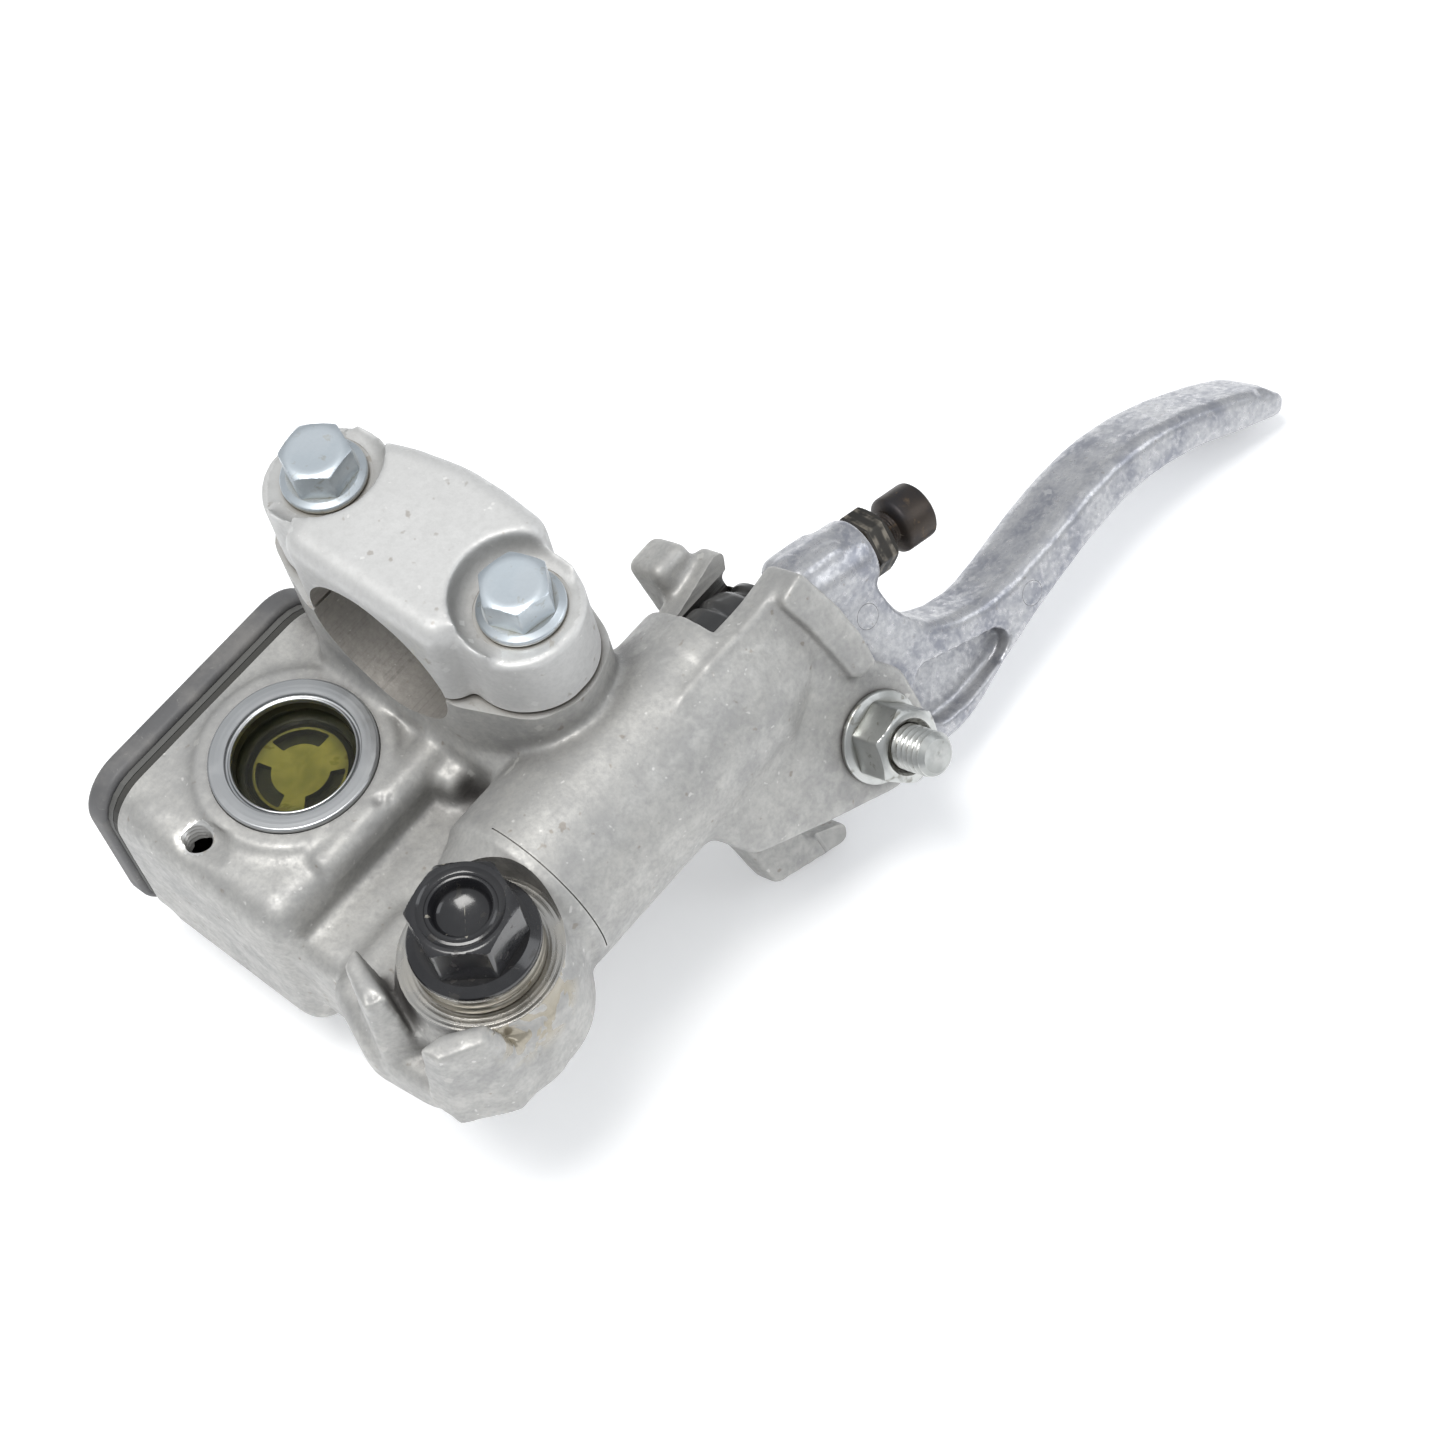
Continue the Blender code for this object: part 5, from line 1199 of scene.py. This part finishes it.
def cover():
    ob = prism(rim(0.5, 6.0), 2.1, 5.3, TOP, bevel=0.8, segments=6)
    # shallow panel between the two screw corners, and a fine step round the skirt
    c = 10.6
    x0, x1, z0, z1 = RES_X0 + 3.0, RES_X1 - 3.0, RES_Z0 + 3.0, WALL_Z - 3.0
    panel = round_path([(z0 + c, x0), (z1, x0), (z1, x1 - c), (z1 - c, x1), (z0, x1), (z0, x0 + c)],
                       [3, 3.5, 3, 3, 3.5, 3], 8)
    cut(ob, prism(panel, 4.7, 6.0, TOP))
    inner = round_path([(z0 + c + 1.0, x0 + 1.6), (z1 - 1.6, x0 + 1.6), (z1 - 1.6, x1 - c - 1.0),
                        (z1 - c - 1.0, x1 - 1.6), (z0 + 1.6, x1 - 1.6), (z0 + 1.6, x0 + c + 1.0)],
                       [2.4, 3, 2.4, 2.4, 3, 2.4], 8)
    join(ob, prism(inner, 4.2, 5.05, TOP, bevel=0.25, segments=3, low=False))
    for sx, sz in SCREWS:
        m = axis_at((sx, RIM_Y, sz), (0, 1, 0), (1, 0, 0))
        cut(ob, spin([(0, 1.0), (2.15, 1.0), (2.15, 3.2), (4.4, 5.35), (4.6, 6.2), (0, 6.2)], m, 96))
    return ob


publish(cover(), "reservoir_cover", "housing", M["cover"], "reservoir_cap", slot="cap_grey", angle=30)


def cover_screw(sx, sz):
    m = axis_at((sx, RIM_Y, sz), (0, 1, 0), (1, 0, 0))
    ob = spin([(0, 4.98), (1.9, 5.02), (3.2, 5.05), (3.62, 5.03), (3.82, 4.92), (3.85, 4.8), (2.1, 3.2), (1.95, 2.9),
               (1.95, 2.0), (0, 2.0)], m, 128)
    join(ob, thread(1.95, 0.28, 0.7, -9.4, 2.6, m=m, end=0.0, seg=64))
    arm = hull([(s * 1.9 * (1 if z > 4 else 0.25), t * 0.42, z) for s in (1, -1) for t in (1, -1) for z in (2.9, 6.0)], m)
    arm2 = hull([(t * 0.42, s * 1.9 * (1 if z > 4 else 0.25), z) for s in (1, -1) for t in (1, -1) for z in (2.9, 6.0)], m)
    return cut(ob, arm, arm2)


for (sx, sz), tag in zip(SCREWS, ("inner", "outer")):
    publish(cover_screw(sx, sz), "cover_screw_" + tag, "housing", M["zinc"], "cap_screw_" + tag, slot="zinc", angle=30)


def boot():
    outer = round_path([(8.3, 12.1), (8.3, 13.4), (7.4, 14.3), (8.55, 15.2), (8.5, 20.4), (7.9, 21.2), (8.2, 22.1), (7.6, 24.4),
                        (6.1, 25.5), (6.7, 26.3), (6.5, 27.2), (4.8, 27.3)], [0, 0.5, 0.6, 0.9, 0.9, 0.7, 0.8, 1.6, 0.6, 0.5, 0.4, 0],
                       5, closed=False)
    inner = round_path([(3.55, 27.3), (3.55, 26.2), (5.4, 25.0), (6.8, 22.4), (6.9, 21.0), (7.4, 19.4), (7.4, 15.8), (6.4, 14.6),
                        (6.4, 12.1)], [0, 0.4, 0.8, 0.5, 0.5, 0.6, 0.6, 0.6, 0], 3, closed=False)
    return spin(outer + inner, BORE_AXIS, 96)


piece = publish(boot(), "dust_boot_rubber", "housing", M["boot"], "dust_boot", slot="rubber", angle=60)
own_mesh(piece)


def spring():
    """Round wire wound on a helix, closed at both ends."""
    r, wire, x0, x1, turns = 4.2, 0.45, -22.2, -6.5, 6.0
    n, ring = 360, 14
    bm = bmesh.new()
    rows, path = [], []
    for i in range(n + 1):
        t = i / n
        dead = 0.9 / turns
        u = min(max((t - dead) / (1 - 2 * dead), 0.0), 1.0)
        z = x0 + wire + (x1 - x0 - 2 * wire) * (0.11 * min(t / dead, 1.0) + 0.78 * u + 0.11 * max((t - 1 + dead) / dead, 0.0))
        a = math.tau * turns * t
        path.append(Vector((r * math.cos(a), r * math.sin(a), z)))
    for i, p in enumerate(path):
        tan = (path[min(i + 1, n)] - path[max(i - 1, 0)]).normalized()
        out = Vector((p.x, p.y, 0)).normalized()
        side = tan.cross(out).normalized()
        rows.append([bm.verts.new(p + out * wire * math.cos(b) + side * wire * math.sin(b))
                     for b in [math.tau * k / ring for k in range(ring)]])
    for a, b in zip(rows, rows[1:]):
        for k in range(ring):
            bm.faces.new((a[k], a[(k + 1) % ring], b[(k + 1) % ring], b[k]))
    bm.faces.new(rows[0])
    bm.faces.new(list(reversed(rows[-1])))
    return hold(bm, BORE_AXIS)


piece = publish(spring(), "return_spring_wire", "housing", M["spring"], "return_spring", slot="spring_steel", angle=50)
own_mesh(piece)

# ------------------------------------------------------------------ inner parts that keep their CAD shape
for node, look in (("piston", "alloy"), ("primary_cup", "rubber"), ("secondary_cup", "rubber"), ("spring_seat", "plastic"),
                   ("circlip", "spring"), ("diaphragm", "rubber"), ("diaphragm_plate", "plastic")):
    mesh = frame["nodes"][node].data
    mesh.materials.clear()
    mesh.materials.append(M[look])

for ob in list(scratch.objects):
    bpy.data.objects.remove(ob, do_unlink=True)
bpy.data.collections.remove(scratch)

# ------------------------------------------------------------------ floor, light, camera
low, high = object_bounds()
floor_z = min(low.z, 0.0) - 0.0002
bm = bmesh.new()
bmesh.ops.create_circle(bm, cap_ends=True, radius=6.0, segments=96)
mesh = bpy.data.meshes.new("floor")
bm.to_mesh(mesh)
bm.free()
floor = bpy.data.objects.new("floor", mesh)
floor.location.z = floor_z
bpy.context.scene.collection.objects.link(floor)
k = Look("floor_look")
k.put(k.mix(k.noise(6.0, 2, 0.5, 1.0), (0.96, 0.98, 1.0), (1.0, 1.0, 1.0)), k.bsdf.inputs["Emission Color"])
k.bsdf.inputs["Emission Strength"].default_value = 0.24
mesh.materials.append(k.done(color=k.mix(k.noise(6.0, 2, 0.5, 1.0), (0.93, 0.935, 0.945), (0.95, 0.95, 0.955)), rough=0.9, spec=0.1))

world = bpy.data.worlds.new("studio")
bpy.context.scene.world = world
world.use_nodes = True
wt = world.node_tree
wt.nodes.clear()
wout = wt.nodes.new("ShaderNodeOutputWorld")
mixs = wt.nodes.new("ShaderNodeMixShader")
path = wt.nodes.new("ShaderNodeLightPath")
white = wt.nodes.new("ShaderNodeBackground")
white.inputs[0].default_value = (1, 1, 1, 1)
white.inputs[1].default_value = 1.0
soft = wt.nodes.new("ShaderNodeBackground")
grad = wt.nodes.new("ShaderNodeTexCoord")
sep = wt.nodes.new("ShaderNodeSeparateXYZ")
wt.links.new(grad.outputs["Generated"], sep.inputs[0])
ramp = wt.nodes.new("ShaderNodeMapRange")
ramp.inputs["From Min"].default_value = -0.2
ramp.inputs["From Max"].default_value = 1.0
ramp.inputs["To Min"].default_value = 0.36
ramp.inputs["To Max"].default_value = 0.78
wt.links.new(sep.outputs["Z"], ramp.inputs["Value"])
wt.links.new(ramp.outputs[0], soft.inputs[1])
soft.inputs[0].default_value = (0.95, 0.975, 1.0, 1)
wt.links.new(path.outputs["Is Camera Ray"], mixs.inputs[0])
wt.links.new(soft.outputs[0], mixs.inputs[1])
wt.links.new(white.outputs[0], mixs.inputs[2])
wt.links.new(mixs.outputs[0], wout.inputs[0])

RIGHT, UP, BACK = Vector((0.6383, -0.7567, -0.1416)), Vector((0.705, 0.5006, 0.5024)), Vector((-0.3092, -0.4205, 0.853))
BACK.normalize()
RIGHT = (RIGHT - BACK * RIGHT.dot(BACK)).normalized()
UP = BACK.cross(RIGHT)
target = (Vector((15.0, -18.0, -10.0)) + ORIGIN) * 0.001


def area(name, direction, distance, size, power, colour=(1, 1, 1)):
    light = bpy.data.lights.new(name, "AREA")
    light.shape = "SQUARE"
    light.size = size
    light.energy = power
    light.color = colour
    ob = bpy.data.objects.new(name, light)
    bpy.context.scene.collection.objects.link(ob)
    d = Vector(direction).normalized()
    ob.location = target + d * distance
    ob.rotation_mode = "QUATERNION"
    ob.rotation_quaternion = d.to_track_quat("Z", "Y")
    return ob


area("key", UP * 0.50 - RIGHT * 0.38 + BACK * 1.1, 0.9, 0.40, 5.6, (1.0, 0.985, 0.96))
area("fill", RIGHT * 1.0 + UP * 0.45 + BACK * 0.75, 1.1, 0.6, 2.2, (0.95, 0.97, 1.0))

cam_data = bpy.data.cameras.new("camera")
cam_data.sensor_width = 36.0
cam_data.lens = 3509.0 / 1445.0 * 36.0
cam_data.clip_start = 0.01
cam_data.clip_end = 50.0
camera = bpy.data.objects.new("camera", cam_data)
bpy.context.scene.collection.objects.link(camera)
rot = Matrix((RIGHT, UP, BACK)).transposed().to_4x4()
rot.translation = (Vector((-156.1, -274.3, 450.8)) * 0.779 + ORIGIN) * 0.001
camera.matrix_world = rot
bpy.context.scene.camera = camera
view = bpy.context.scene.view_settings
view.view_transform = "Standard"
view.look = "None"
view.exposure = 0.0
